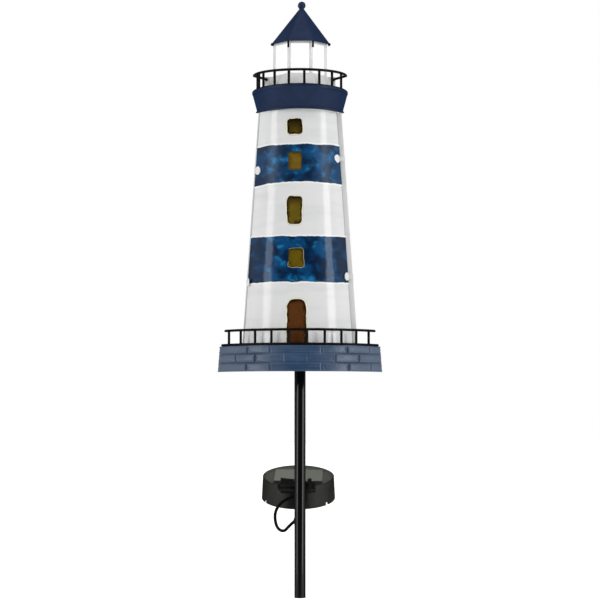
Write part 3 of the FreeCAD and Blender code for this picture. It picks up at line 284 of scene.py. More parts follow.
# ---- shared helpers ----

def feed(node, values):
    """Sets or links a node's inputs; each is a value or another node's socket."""
    for key, value in values.items():
        if isinstance(value, NodeSocket):
            node.id_data.links.new(value, node.inputs[key])
        else:
            node.inputs[key].default_value = value
    return node


def add(tree, kind, inputs=None, **settings):
    """Adds a node with its settings and inputs."""
    node = tree.nodes.new(kind)
    for name, value in settings.items():
        setattr(node, name, value)
    return feed(node, inputs or {})


def owner(*values):
    """The node tree of the first socket among some values."""
    return next(value.id_data for value in values if isinstance(value, NodeSocket))


def maths(operation, *values):
    """The output of a math node."""
    return add(owner(*values), "ShaderNodeMath", dict(enumerate(values)), operation=operation).outputs[0]


def times(first, *others):
    """The product of some values."""
    for other in others:
        first = maths("MULTIPLY", first, other)
    return first


def scaled(value, factor, offset):
    """A value times a factor, plus an offset."""
    return maths("MULTIPLY_ADD", value, factor, offset)


def eased(value, start, end):
    """Goes smoothly from 0 at start to 1 at end, which may be the lower of the two."""
    return add(value.id_data, "ShaderNodeMapRange", {"Value": value, "From Min": start, "From Max": end},
               interpolation_type="SMOOTHSTEP").outputs["Result"]


def hue(value):
    """A colour input: a hex text in linear light, a setting as numbers, a socket as it is."""
    if isinstance(value, NodeSocket):
        return value
    return linear(value) if isinstance(value, str) else tuple(value)


def mixed(share, first, second, most=1.0, blend="MIX"):
    """The mix of two colours, with the second by a share times its most."""
    inputs = {0: share if most == 1.0 else times(share, most), 6: hue(first), 7: hue(second)}
    node = add(owner(*inputs.values()), "ShaderNodeMix", inputs, data_type="RGBA", blend_type=blend)
    return node.outputs[2]


def clouds(place, size, detail=3.0, distortion=0.0, stretch=None):
    """Noise whose patches are about size metres across, longer along an axis stretched below 1."""
    tree = place.id_data
    if stretch:
        place = add(tree, "ShaderNodeVectorMath", {0: place, 1: stretch}, operation="MULTIPLY").outputs[0]
    return add(tree, "ShaderNodeTexNoise", {"Vector": place, "Scale": 1 / size, "Detail": detail,
                                            "Distortion": distortion}).outputs["Fac"]


def read(place, name, output="Fac"):
    """A vertex attribute's output in the material of another socket."""
    return add(place.id_data, "ShaderNodeAttribute", attribute_name=name).outputs[output]


def relief(height, distance, strength=1.0):
    """A bumped normal from a height field."""
    return add(height.id_data, "ShaderNodeBump",
               {"Height": height, "Distance": distance, "Strength": strength}).outputs[0]


def emptied(holder):
    """The cleared node tree of a material or a world."""
    holder.use_nodes = True
    holder.node_tree.nodes.clear()
    return holder.node_tree


def blank(name):
    """A new material with its surface shader and the object's own coordinates."""
    material = bpy.data.materials.new(name)
    tree = emptied(material)
    shader = add(tree, "ShaderNodeBsdfPrincipled")
    add(tree, "ShaderNodeOutputMaterial", {"Surface": shader.outputs[0]})
    return material, shader, add(tree, "ShaderNodeTexCoord").outputs["Object"]


def finish(name, base, rough, metallic=0.0, grain=0.0, grain_size=0.6 * MM, drift=0.06, patch=0.03, shine=0.5,
           rough_drift=0.06):
    """A finish whose colour and gloss drift slowly over the piece, over a fine grain."""
    material, shader, place = blank(name)

    def drifting(size, low, high):
        return add(place.id_data, "ShaderNodeMapRange", {
            "Value": clouds(place, size), "From Min": 0.3, "From Max": 0.7, "To Min": low, "To Max": high,
        }).outputs["Result"]

    shade = drifting(patch, 1 - drift, 1 + drift)
    tone = add(place.id_data, "ShaderNodeVectorMath", {0: hue(base)[:3], "Scale": shade}, operation="SCALE")
    matt = drifting(patch * 0.4, max(rough - rough_drift, 0.02), rough + rough_drift)
    feed(shader, {"Base Color": tone.outputs[0], "Roughness": matt, "Metallic": metallic,
                  "Specular IOR Level": shine})
    if grain:
        feed(shader, {"Normal": relief(clouds(place, grain_size, 2.0), grain)})
    return material


def link(name, data):
    """A new object of some data in the scene."""
    obj = bpy.data.objects.new(name, data)
    bpy.context.scene.collection.objects.link(obj)
    return obj


def smooth(mesh, degrees=38):
    """Smooth shading, with edges steeper than the angle left sharp."""
    mesh.polygons.foreach_set("use_smooth", [True] * len(mesh.polygons))
    mesh.set_sharp_from_angle(angle=math.radians(degrees))
    return mesh


def solid(name, points, faces, degrees=38):
    """A new object of points and faces, turned outwards."""
    mesh = bpy.data.meshes.new(name)
    mesh.from_pydata([tuple(map(float, point)) for point in points], [], faces)
    work = bmesh.new()
    work.from_mesh(mesh)
    bmesh.ops.recalc_face_normals(work, faces=work.faces)
    work.to_mesh(mesh)
    work.free()
    return link(name, smooth(mesh, degrees))


def joined(parts):
    """Several lists of points and faces as one."""
    points, faces = [], []
    for more, sides in parts:
        faces += [tuple(index + len(points) for index in side) for side in sides]
        points += list(more)
    return points, faces


def quads(grid):
    """Faces between neighbours in a grid of point numbers."""
    corners = grid[:-1, :-1], grid[:-1, 1:], grid[1:, 1:], grid[1:, :-1]
    return np.stack(corners, axis=-1).reshape(-1, 4).tolist()


def rings(circles):
    """Points and faces of a skin over rings of points, closed with a point at each end."""
    count = len(circles[0])
    points = [point for circle in circles for point in circle]
    grid = np.arange(len(points)).reshape(-1, count)
    faces = quads(np.concatenate([grid, grid[:, :1]], axis=1))
    for circle, row in ((circles[0], grid[0].tolist()), (circles[-1], grid[-1].tolist())):
        faces += [(row[at], row[(at + 1) % count], len(points)) for at in range(count)]
        points.append(sum(map(Vector, circle), Vector()) / count)
    return points, faces


def bar(route, radius, sides=14, dome=1.0):
    """A round bar along a route, with domed ends."""
    route = [Vector(point) for point in route]
    last = len(route) - 1
    ahead = [(route[min(i + 1, last)] - route[max(i - 1, 0)]).normalized() for i in range(last + 1)]
    across = ahead[0].orthogonal().normalized()
    cap = [(dome * radius * math.sin(t), math.cos(t)) for t in map(math.radians, (30, 60, 82))]
    circles = []
    for index, (point, along) in enumerate(zip(route, ahead)):
        across = (across - along * across.dot(along)).normalized()
        up = along.cross(across)
        before = [(-far, size) for far, size in reversed(cap)] if index == 0 else []
        for far, size in before + [(0.0, 1.0)] + (cap if index == last else []):
            centre = point + along * far
            circles.append([centre + (across * math.cos(t) + up * math.sin(t)) * radius * size
                            for t in (2 * math.pi * k / sides for k in range(sides))])
    return rings(circles)


def arc(radius, half, centre, height, count=72, tilt=0.0):
    """Points on an arc round the front, leaning forwards by tilt."""
    points = []
    for k in range(count + 1):
        turn = -half + 2 * half * k / count
        back = -radius * math.cos(turn)
        points.append(Vector((radius * math.sin(turn), centre + back * math.cos(tilt),
                              height + back * math.sin(tilt))))
    return points


def closed_sheet(outer, inner, step):
    """Points and faces of a sheet between a fine outer grid and an inner one, which has
    every step-th row and column of it."""
    fine = np.arange(outer[..., 0].size).reshape(outer.shape[:2])
    few = fine.size + np.arange(inner[..., 0].size).reshape(inner.shape[:2])
    faces = quads(fine) + quads(few.T)
    for edge, seam in ((fine[0], few[0]), (fine[-1], few[-1]), (fine[:, 0], few[:, 0]),
                       (fine[:, -1], few[:, -1])):
        faces += [edge[at * step:(at + 1) * step + 1].tolist() + [int(seam[at + 1]), int(seam[at])]
                  for at in range(len(seam) - 1)]
    return np.concatenate([outer.reshape(-1, 3), inner.reshape(-1, 3)]), faces


def baked(obj):
    """Turns an object's modifiers into its mesh."""
    graph = bpy.context.evaluated_depsgraph_get()
    mesh = bpy.data.meshes.new_from_object(obj.evaluated_get(graph), depsgraph=graph)
    obj.modifiers.clear()
    obj.data = mesh
    return obj


def shown(obj, body, slot, material, *nodes):
    """Gives a piece its body and its finish, and hides the CAD nodes that it stands for; the slot is not
    used.
    """
    obj.data.materials.clear()
    obj.data.materials.append(material)
    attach(obj, body)
    if nodes:
        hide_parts(*nodes)
    return obj


def merged(node):
    """A copy of a CAD node's mesh with its seams closed and its flat faces whole."""
    work = bmesh.new()
    work.from_mesh(bpy.data.objects[node].data)
    bmesh.ops.remove_doubles(work, verts=work.verts, dist=0.002 * MM)
    bmesh.ops.dissolve_limit(work, angle_limit=math.radians(0.3), verts=work.verts, edges=work.edges)
    mesh = bpy.data.meshes.new(node + "_look")
    work.to_mesh(mesh)
    work.free()
    return mesh


def eased_copy(node, width, segments=2, degrees=28):
    """A copy of a CAD node with its sharp edges rounded over."""
    obj = link(node + "_look", merged(node))
    smooth(obj.data, 180)
    rounding = obj.modifiers.new("rounding", "BEVEL")
    rounding.width = width
    rounding.segments = segments
    rounding.limit_method = "ANGLE"
    rounding.angle_limit = math.radians(degrees)
    rounding.harden_normals = True
    return baked(obj)


def level(node, height):
    """Half width, middle and front of a CAD node's outline at one height."""
    at = [v.co for v in bpy.data.objects[node].data.vertices if abs(v.co.z - height) < 0.01 * MM]
    left, right = min(p.x for p in at), max(p.x for p in at)
    return (right - left) / 2, (right + left) / 2, min(p.y for p in at)


def bow(half, sag):
    """Radius of an arc across twice half, with its middle sag in front of its ends."""
    return (half * half + sag * sag) / (2 * sag)


def collar_edge(height):
    """Radius, half angle and centre of the collar's bowed edge at one height."""
    half, _, front = level("gallery_collar", height)
    radius = bow(half, -front)
    return radius, math.asin(min(1, half / radius)), front + radius


def wander(x, z, size, seed):
    """A slow random field over two arrays of places, from about -1 to 1."""
    flat = [noise.noise(Vector((a / size, seed, b / size))) for a, b in zip(x.ravel(), z.ravel())]
    return np.array(flat).reshape(x.shape)


def attribute(mesh, name, values, kind="FLOAT"):
    """Stores a value for each vertex."""
    field = {"FLOAT_COLOR": "color", "FLOAT_VECTOR": "vector"}.get(kind, "value")
    mesh.attributes.new(name, kind, "POINT").data.foreach_set(field, np.asarray(values, np.float32).ravel())


# ---- stage ----

class LIGHTHOUSE_OT_stage(Operator):
    """Camera, softboxes, white ground and backdrop"""
    bl_idname = "lighthouse.stage"
    bl_label = "Stage"

    def execute(self, context):
        scene = context.scene
        look = scene.lighthouse_stage
        camera = bpy.data.cameras.new("camera")
        camera.lens = look.lens
        camera.sensor_width = 36
        view = link("camera", camera)
        view.location = (0, -look.camera_distance, look.camera_height)
        view.rotation_euler = (math.pi / 2 + look.camera_pitch, 0, 0)
        scene.camera = view
        scene.view_settings.view_transform = "Standard"

        # Each softbox: bearing, height, distance, size, power and the height that it faces.
        for name, bearing, high, far, size, power, aim in (
                ("left_softbox", -look.left_bearing, 0.55, 1.7, (0.44, 2.6), look.left_power, 0.55),
                ("right_softbox", look.right_bearing, 0.55, 1.7, (0.44, 2.6), look.right_power, 0.55),
                ("top_softbox", 0.0, 2.3, 0.9, (1.8, 1.2), look.top_power, 0.4)):
            light = bpy.data.lights.new(name, "AREA")
            light.shape = "RECTANGLE"
            light.size, light.size_y = size
            light.energy = power
            box = link(name, light)
            box.location = (far * math.sin(bearing), -far * math.cos(bearing), high)
            box.rotation_euler = (Vector((0, 0, aim)) - box.location).to_track_quat("-Z", "Y").to_euler()
            box.visible_camera = False

        scene.world = bpy.data.worlds.new("studio")
        tree = emptied(scene.world)
        toward = add(tree, "ShaderNodeTexCoord").outputs["Generated"]
        way = add(tree, "ShaderNodeSeparateXYZ", {0: toward}).outputs
        # The even light is weak from low in front, and a little weaker from above.
        dim = times(eased(way["Y"], -0.45, -0.92), eased(way["Z"], 0.8, 0.35), 0.92)
        above = scaled(eased(way["Z"], 0.3, 0.9), -0.4, 1.0)
        power = times(maths("SUBTRACT", above, dim), look.fill)
        path = add(tree, "ShaderNodeLightPath").outputs
        # Reflections see the white backdrop just behind the object, and a dimmer room beside it.
        mirrored = maths("MAXIMUM", path["Is Glossy Ray"], path["Is Transmission Ray"])
        backdrop = times(mirrored, eased(way["Y"], 0.97, 0.995))
        room = times(mirrored, eased(way["Y"], 0.0, 0.5))
        power = times(power, scaled(room, -0.95, 1.0))
        white = maths("MAXIMUM", path["Is Camera Ray"], backdrop)
        strength = add(tree, "ShaderNodeMix", {0: white, 2: power, 3: 1.0}).outputs[0]
        light = add(tree, "ShaderNodeBackground", {"Color": hue("#FFFFFF"), "Strength": strength})
        add(tree, "ShaderNodeOutputWorld", {"Surface": light.outputs[0]})

        corners = [(-6, -6, 0), (6, -6, 0), (6, 6, 0), (-6, 6, 0)]
        ground = solid("ground", corners, [(0, 1, 2, 3)])
        # Plain matt white, which keeps the object's shadow and meets the backdrop unseen.
        material = bpy.data.materials.new("White studio ground")
        tree = emptied(material)
        matt = add(tree, "ShaderNodeBsdfDiffuse", {"Color": (0.8, 0.8, 0.8, 1)})
        path = add(tree, "ShaderNodeLightPath").outputs
        seen = maths("MAXIMUM", path["Is Camera Ray"], path["Is Transmission Ray"])
        glow = add(tree, "ShaderNodeEmission", {"Color": hue("#FFFFFF"), "Strength": times(seen, 0.8)})
        lit = add(tree, "ShaderNodeAddShader", {0: matt.outputs[0], 1: glow.outputs[0]})
        clear = add(tree, "ShaderNodeBsdfTransparent")
        # Reflections look through the ground, so the pole shows the softboxes down to its foot.
        whole = add(tree, "ShaderNodeMixShader",
                    {0: path["Is Glossy Ray"], 1: lit.outputs[0], 2: clear.outputs[0]})
        add(tree, "ShaderNodeOutputMaterial", {"Surface": whole.outputs[0]})
        ground.data.materials.append(material)
        return {"FINISHED"}


# ---- lead ----

class LIGHTHOUSE_OT_lead(Operator):
    """Lead that hangs between the solar unit and the pole"""
    bl_idname = "lighthouse.lead"
    bl_label = "Hanging lead"

    def execute(self, context):
        look = context.scene.lighthouse_unit
        curve = bpy.data.curves.new("lead_line", "CURVE")
        curve.dimensions = "3D"
        curve.resolution_u = 24
        spline = curve.splines.new("NURBS")
        spline.points.add(len(LEAD_ROUTE) - 1)
        for point, place in zip(spline.points, LEAD_ROUTE):
            point.co = (*(v * MM for v in place), 1)
        spline.order_u = 3
        spline.use_endpoint_u = True
        line = link("lead_line", curve)
        context.view_layer.update()
        graph = context.evaluated_depsgraph_get()
        flat = bpy.data.meshes.new_from_object(line.evaluated_get(graph))
        path = [v.co.copy() for v in flat.vertices]
        bpy.data.objects.remove(line)
        radius = look.lead_radius
        lead = solid("hanging_lead", *bar(path, radius, 20, 0.1), degrees=60)
        # Dull black with a fine grain, so that the loop reads soft beside the glossy pole.
        lead.data.materials.append(finish("Satin lead jacket", context.scene.lighthouse_paint.jacket, 0.5,
                                          grain=0.02 * MM, grain_size=0.5 * MM, shine=0.08))
        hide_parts("solar_cord")
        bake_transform(lead)
        return {"FINISHED"}


# ---- glass ----

def rounded_box(x, z, centre, half, corner):
    """Distance inside the edge of a box with round corners, in the units given."""
    dx = np.abs(x - centre[0]) - (half[0] - corner)
    dz = np.abs(z - centre[1]) - (half[1] - corner)
    outside = np.hypot(np.maximum(dx, 0), np.maximum(dz, 0))
    return corner - outside - np.minimum(np.maximum(dx, dz), 0)


def pane_fields(x, z):
    """Distance inside the nearest pane's edge, its cream line's width and its colour."""
    best = np.full(x.shape, -60.0)
    halo = np.zeros(x.shape)
    tint = np.ones(x.shape + (4,))
    for index, pane in enumerate(PANES):
        across, top, low, wide_top, wide_low, corner, line, shade, upper, lower = pane
        share = np.clip((z - low) / (top - low), 0, 1)
        half = wide_low + (wide_top - wide_low) * share
        inside = rounded_box((x - across) * wide_top / half, z, (0, (top + low) / 2),
                             (wide_top, (top - low) / 2), corner)
        inside = inside + 0.75 * wander(x, z, 6.5, 3.1 + index) + 0.3 * wander(x, z, 2.6, 9.1 + index)
        nearer = inside > best
        best = np.where(nearer, inside, best)
        halo = np.where(nearer, line * np.clip(0.8 + 1.1 * wander(x, z, 13.0, 21.7 + index), 0, 1.25), halo)
        fade = np.clip((z - top + shade) / shade, 0, 1)[..., None]
        tone = np.array(linear(lower)) * (1 - fade) + np.array(linear(upper)) * fade
        tint = np.where(nearer[..., None], tone, tint)
    return best, halo, tint


def band_field(x, z, half):
    """Distance inside the nearest blue band's edge, in millimetres."""
    best = np.full(x.shape, -80.0)
    span = np.clip(x / half, -1, 1)
    for index, edges in enumerate(BANDS):
        heights = []
        for (left, middle, right), seed in zip(edges, (11.3, 17.9)):
            line = middle + (right - left) / 2 * span + ((left + right) / 2 - middle) * span ** 2
            heights.append(line + 1.1 * wander(x, z * 0, 15.0, seed + index)
                           + 0.5 * wander(x, z * 0, 4.0, seed + 20 + index))
        best = np.maximum(best, np.minimum(z - heights[0], heights[1] - z))
    return best


def painted_glass(paint):
    """Glass painted by hand: white wall, clouded blue bands, amber windows in cream lines."""
    material, shader, place = blank("Painted tower glass")
    band, pane, halo, rim_mm = (read(place, name) for name in ("band_mm", "pane_mm", "halo_mm", "edge_mm"))
    spot = add(place.id_data, "ShaderNodeSeparateXYZ", {0: place}).outputs
    height, banded = spot["Z"], eased(band, 0.0, 0.7)
    # White paint with slow grey washes, as brushed on the back of the glass, with painted light that makes it
    # whiter at its foot, a painted shadow greying it along the frame, and a white ledge along the bands.
    wash = eased(clouds(place, 0.012, 4.0, 0.2, (0.22, 0.22, 1.0)), 0.40, 0.75)
    wall = mixed(wash, paint.wall, "#C9CBCD", 0.2)
    wall = mixed(eased(height, 0.345, 0.32), wall, "#FFFFFF", 0.9)
    wall = mixed(eased(rim_mm, 1.9, 0.6), wall, "#777A80", 0.7)
    wall = mixed(times(eased(band, -2.0, -1.2), eased(band, 0.4, -0.2)), wall, "#FFFFFF")
    # Blue in three depths, clearest in the middle, which gives the bands their
    # stained-glass clouds, with a dark line along their edges.
    cloud = clouds(place, 0.019, 2.4, 0.2, (1.0, 1.0, 1.2))
    spots = clouds(place, 0.014, 2.8, 0.25, (1.0, 1.0, 1.3))
    inward = eased(maths("ABSOLUTE", spot["X"]), 0.050, 0.032)
    share = times(eased(cloud, 0.40, 0.66), scaled(inward, 0.5, 0.5))
    blue = mixed(share, paint.deep_blue, paint.mid_blue)
    bright = times(eased(spots, 0.48, 0.7), eased(cloud, 0.44, 0.6))
    blue = mixed(times(bright, scaled(inward, 0.65, 0.2)), blue, paint.clear_blue)
    blue = mixed(eased(band, 2.0, 0.6), blue, "#061026", 0.8)
    tone = mixed(banded, wall, blue)
    # Cream line round a window, with a painted shadow, a thin grey line, just outside it, then the amber pane
    # with its darker rim and flecks.
    lined = maths("GREATER_THAN", halo, 0.1)
    reach = maths("ADD", pane, halo)
    tone = mixed(times(eased(reach, -1.2, -0.2), lined), tone, "#8E8672", 0.3)
    tone = mixed(times(eased(reach, -0.3, 0.3), lined), tone, paint.cream)
    tint = read(place, "pane_tint", "Color")
    flecks = eased(clouds(place, 0.004, 4.0, 0.8, (1.0, 1.0, 0.5)), 0.42, 0.7)
    amber = mixed(flecks, tint, mixed(1.0, tint, "#F4E4A8", blend="SOFT_LIGHT"), 0.35)
    amber = mixed(eased(clouds(place, 0.0016, 2.0), 0.7, 0.77), amber, "#D8B04A", 0.4)
    rim = eased(pane, scaled(clouds(place, 0.006, 2.0), 15.0, -3.4), 0.4)
    depth = scaled(eased(halo, 0.5, 1.1), 0.45, 0.5)
    amber = mixed(times(rim, depth), amber, "#120A03")
    tone = mixed(eased(pane, -0.25, 0.25), tone, amber)
    # A gloss that waves slightly, bluer in the bands and duller in the upper one.
    dull = times(eased(height, 0.44, 0.52), banded)
    feed(shader, {"Base Color": tone, "Roughness": scaled(dull, 0.2, 0.12), "Specular IOR Level": 0.42,
                  "Specular Tint": mixed(banded, "#FFFFFF", "#C3DDF8"),
                  "Normal": relief(clouds(place, 0.004, 3.0, 0.6), 0.05 * MM, 0.6)})
    return material


class LIGHTHOUSE_OT_glass(Operator):
    """Bowed glass with its painted bands, windows and door"""
    bl_idname = "lighthouse.glass"
    bl_label = "Painted glass"

    def execute(self, context):
        look = context.scene.lighthouse_glass
        low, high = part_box("glass_shade")
        wide_low, middle, front_low = level("glass_shade", low.z)
        wide_high, _, front_high = level("glass_shade", high.z)
        u, v = np.meshgrid(np.linspace(-1, 1, look.columns + 1), np.linspace(0, 1, look.rows + 1))
        half = wide_low + (wide_high - wide_low) * v
        sag = (high.y - front_low) + (front_low - front_high) * v
        radius = bow(half, sag)
        turn = np.arcsin(half / radius) * u
        z = low.z + (high.z - low.z) * v
        x = middle + radius * np.sin(turn)
        centre = high.y - sag + radius
        pane, halo, tint = pane_fields(x / MM, z / MM)
        band = band_field(x / MM, z / MM, half / MM)
        # Raised lines round the panes and, lower, along the bands, fading out at the rim.
        width = look.outline_width / MM
        ridge = np.exp(-((pane + halo / 2) / width) ** 2 * 2.5) * np.where(halo > 0.2, 1.0, 0.4)
        ridge = np.maximum(ridge, 0.55 * np.exp(-(band / width) ** 2 * 3.5))
        rim = np.minimum(1, (1 - np.abs(u)) * 40) * np.minimum(1, np.minimum(v, 1 - v) * 120)
        lift = (look.outline_rise * ridge + look.ripple * wander(x / MM, z / MM, 9.0, 5.5)) * rim

        def skin(reach, turn, centre, z):
            return np.stack([middle + reach * np.sin(turn), centre - reach * np.cos(turn), z], axis=-1)

        outer = skin(radius + lift - look.ripple, turn, centre, z)
        few = np.s_[::look.step, ::look.step]
        reach = (radius - look.wall)[few]
        seat = np.arccos(np.clip((radius - sag)[few] / reach, -1, 1)) * u[few]
        inner = skin(reach, seat, centre[few], z[few])
        glass = solid("painted_glass", *closed_sheet(outer, inner, look.step))
        rest = inner[..., 0].size
        for name, values, fill in (("pane_mm", pane, -60), ("band_mm", band, -80), ("halo_mm", halo, 0),
                                   ("edge_mm", (1 - np.abs(u)) * half / MM, 0)):
            attribute(glass.data, name, np.concatenate([values.ravel(), np.full(rest, fill)]))
        tints = np.concatenate([tint.reshape(-1, 4), np.ones((rest, 4))])
        attribute(glass.data, "pane_tint", tints, "FLOAT_COLOR")
        shown(glass, "root", "painted_glass", painted_glass(context.scene.lighthouse_paint), "glass_shade")
        return {"FINISHED"}


# ---- brick band ----

def brick_relief(s, z, width):
    """Depth of the pressed joints, from 0 to 1, at places along the arc and up."""
    depth = np.zeros(s.shape)
    for low, high, joints in COURSES:
        gap = np.full(s.shape, 99.0)
        for joint in joints:
            gap = np.minimum(gap, np.abs(s - joint - 0.5 * wander(s * 0, z, 6.0, joint)))
        for edge in {low, high} - {COURSES[0][1], COURSES[-1][0]}:
            gap = np.minimum(gap, np.abs(edge - z))
        groove = np.exp(-(gap / width) ** 2 * 3) - 0.4 * np.exp(-((gap - 1.7 * width) / width) ** 2 * 3)
        depth = np.where((z >= low) & (z < high), groove, depth)
    return depth


def brick_paint(paint):
    """Matt slate paint, worn lighter in streaks along the bricks, with painted sheen that makes it lighter
    and greyer towards the ends and painted shade in the pressed joints.
    """
    material, shader, place = blank("Brushed slate brick paint")
    streak = eased(clouds(place, 0.0025, 4.0, 0.0, (0.07, 0.07, 1.0)), 0.4, 0.75)
    patch = eased(clouds(place, 0.02, 3.0), 0.35, 0.7)
    worn = times(maths("ADD", times(streak, 0.5), times(patch, 0.3)), 0.5)
    tone = mixed(worn, paint.slate, paint.slate_light)
    # Painted sheen: lighter and greyer towards the band's ends.
    tone = mixed(read(place, "ends"), tone, "#7D8997")
    # Painted shade in the pressed joints.
    tone = mixed(eased(read(place, "joint"), 0.2, 0.9), tone, "#26344E", 0.25)
    feed(shader, {"Base Color": tone, "Roughness": 0.34,
                  "Normal": relief(clouds(place, 0.0012, 3.0, 0.0, (0.25, 0.25, 1.0)), 0.1 * MM)})
    return material


class LIGHTHOUSE_OT_band(Operator):
    """Embossed brick band with bitten ends"""
    bl_idname = "lighthouse.band"
    bl_label = "Brick band"

    def execute(self, context):
        look = context.scene.lighthouse_band
        low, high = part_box("base_band")
        half, _, crown = level("base_band", high.z)
        front = level("base_band", low.z)[2]
        radius = bow(half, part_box("base_deck")[1].y - crown)
        u, v = np.meshgrid(np.linspace(-1, 1, look.columns + 1), np.linspace(0, 1, look.rows + 1))
        z = low.z + (high.z - low.z) * v
        reach = radius + (crown - front) * (1 - v)
        # Two waves bite into the ends, out of step between the left one and the right one.
        bites = sum(share * np.abs(np.sin(z / MM * pace + np.where(u < 0, left, right)))
                    for share, pace, left, right in ((0.6, 0.62, 0.4, 1.6), (0.4, 0.27, 0.0, 0.9)))
        turn = u * (math.asin(half / radius) - look.scallop * bites / radius)
        s = reach * turn / MM
        # The joints are faint in the middle and full towards the ends.
        joint = brick_relief(s, z / MM, look.joint_width / MM)
        joint = joint * (0.3 + 0.7 * np.clip((np.abs(u) - 0.12) / 0.35, 0, 1))
        fade = np.minimum(1, np.minimum(v, 1 - v) * 14) * np.minimum(1, (1 - np.abs(u)) * 30)
        pillow = 0.12 * MM * wander(s, z / MM, 5.0, 8.8)
        inset = (look.joint_depth * joint + 0.65 * MM) * fade - pillow * fade

        def skin(depth):
            side = reach - depth
            return np.stack([side * np.sin(turn), crown + radius - side * np.cos(turn), z], axis=-1)

        few = np.s_[::2, ::2]
        outer, inner = skin(inset), skin(inset + look.sheet)[few]
        band = solid("brick_band", *closed_sheet(outer, inner, 2), degrees=50)
        deck = eased_copy("base_deck", 0.25 * MM)
        # How strongly the painted sheen lightens the band towards its ends.
        ends = 0.15 * np.clip((np.abs(u) - 0.12) / 0.25, 0, 1) + 0.28 * np.clip((np.abs(u) - 0.5) / 0.4, 0, 1)
        for name, values in (("joint", joint), ("ends", ends)):
            attribute(band.data, name, np.concatenate([values.ravel(), values[few].ravel()]))
            attribute(deck.data, name, np.zeros(len(deck.data.vertices)))
        material = brick_paint(context.scene.lighthouse_paint)
        shown(band, "root", "slate_blue_paint", material, "base_band")
        shown(deck, "root", "slate_blue_paint", material, "base_deck")
        return {"FINISHED"}


# ---- railings ----

BALUSTER_INPUTS = ("Count", "First Angle", "Step Angle", "Arc Radius", "Arc Centre", "Foot", "Rail", "Lean",
                   "Wire Radius", "Bead Radius", "Material")


def baluster_group():
    """Node group: upright wires along an arc, each with a bead of weld at both ends."""
    tree = bpy.data.node_groups.new("Balusters", "GeometryNodeTree")
    for name in BALUSTER_INPUTS:
        kind = {"Count": "Int", "Material": "Material"}.get(name, "Float")
        tree.interface.new_socket(name, in_out="INPUT", socket_type="NodeSocket" + kind)
    tree.interface.new_socket("Geometry", in_out="OUTPUT", socket_type="NodeSocketGeometry")
    given = add(tree, "NodeGroupInput").outputs
    index = add(tree, "GeometryNodeInputIndex").outputs[0]
    turn = scaled(index, given["Step Angle"], given["First Angle"])
    across = times(given["Arc Radius"], maths("SINE", turn))
    ahead = times(given["Arc Radius"], maths("COSINE", turn))
    back = maths("SUBTRACT", given["Arc Centre"], ahead)
    head = maths("SUBTRACT", given["Rail"], times(ahead, maths("SINE", given["Lean"])))
    tall = maths("SUBTRACT", head, given["Foot"])
    middle = scaled(tall, 0.5, given["Foot"])
    wire = add(tree, "GeometryNodeMeshCylinder",
               {"Vertices": 14, "Radius": given["Wire Radius"], "Depth": 1.0}).outputs["Mesh"]
    bead = add(tree, "GeometryNodeMeshUVSphere",
               {"Segments": 14, "Rings": 8, "Radius": given["Bead Radius"]}).outputs["Mesh"]
    parts = []
    for height, mesh, scale in ((middle, wire, (1.0, 1.0, tall)), (given["Foot"], bead, (1.0, 1.0, 0.6)),
                                (head, bead, (1.0, 0.95, 0.8))):
        place = add(tree, "ShaderNodeCombineXYZ", {0: across, 1: back, 2: height}).outputs[0]
        points = add(tree, "GeometryNodePoints", {"Count": given["Count"], "Position": place}).outputs[0]
        size = add(tree, "ShaderNodeCombineXYZ", dict(enumerate(scale))).outputs[0]
        parts.append(add(tree, "GeometryNodeInstanceOnPoints",
                         {"Points": points, "Instance": mesh, "Scale": size}).outputs[0])
    whole = add(tree, "GeometryNodeJoinGeometry")
    for part in parts:
        tree.links.new(part, whole.inputs[0])
    real = add(tree, "GeometryNodeRealizeInstances", {0: whole.outputs[0]})
    painted = add(tree, "GeometryNodeSetMaterial", {0: real.outputs[0], "Material": given["Material"]})
    add(tree, "NodeGroupOutput", {0: painted.outputs[0]})
    return tree


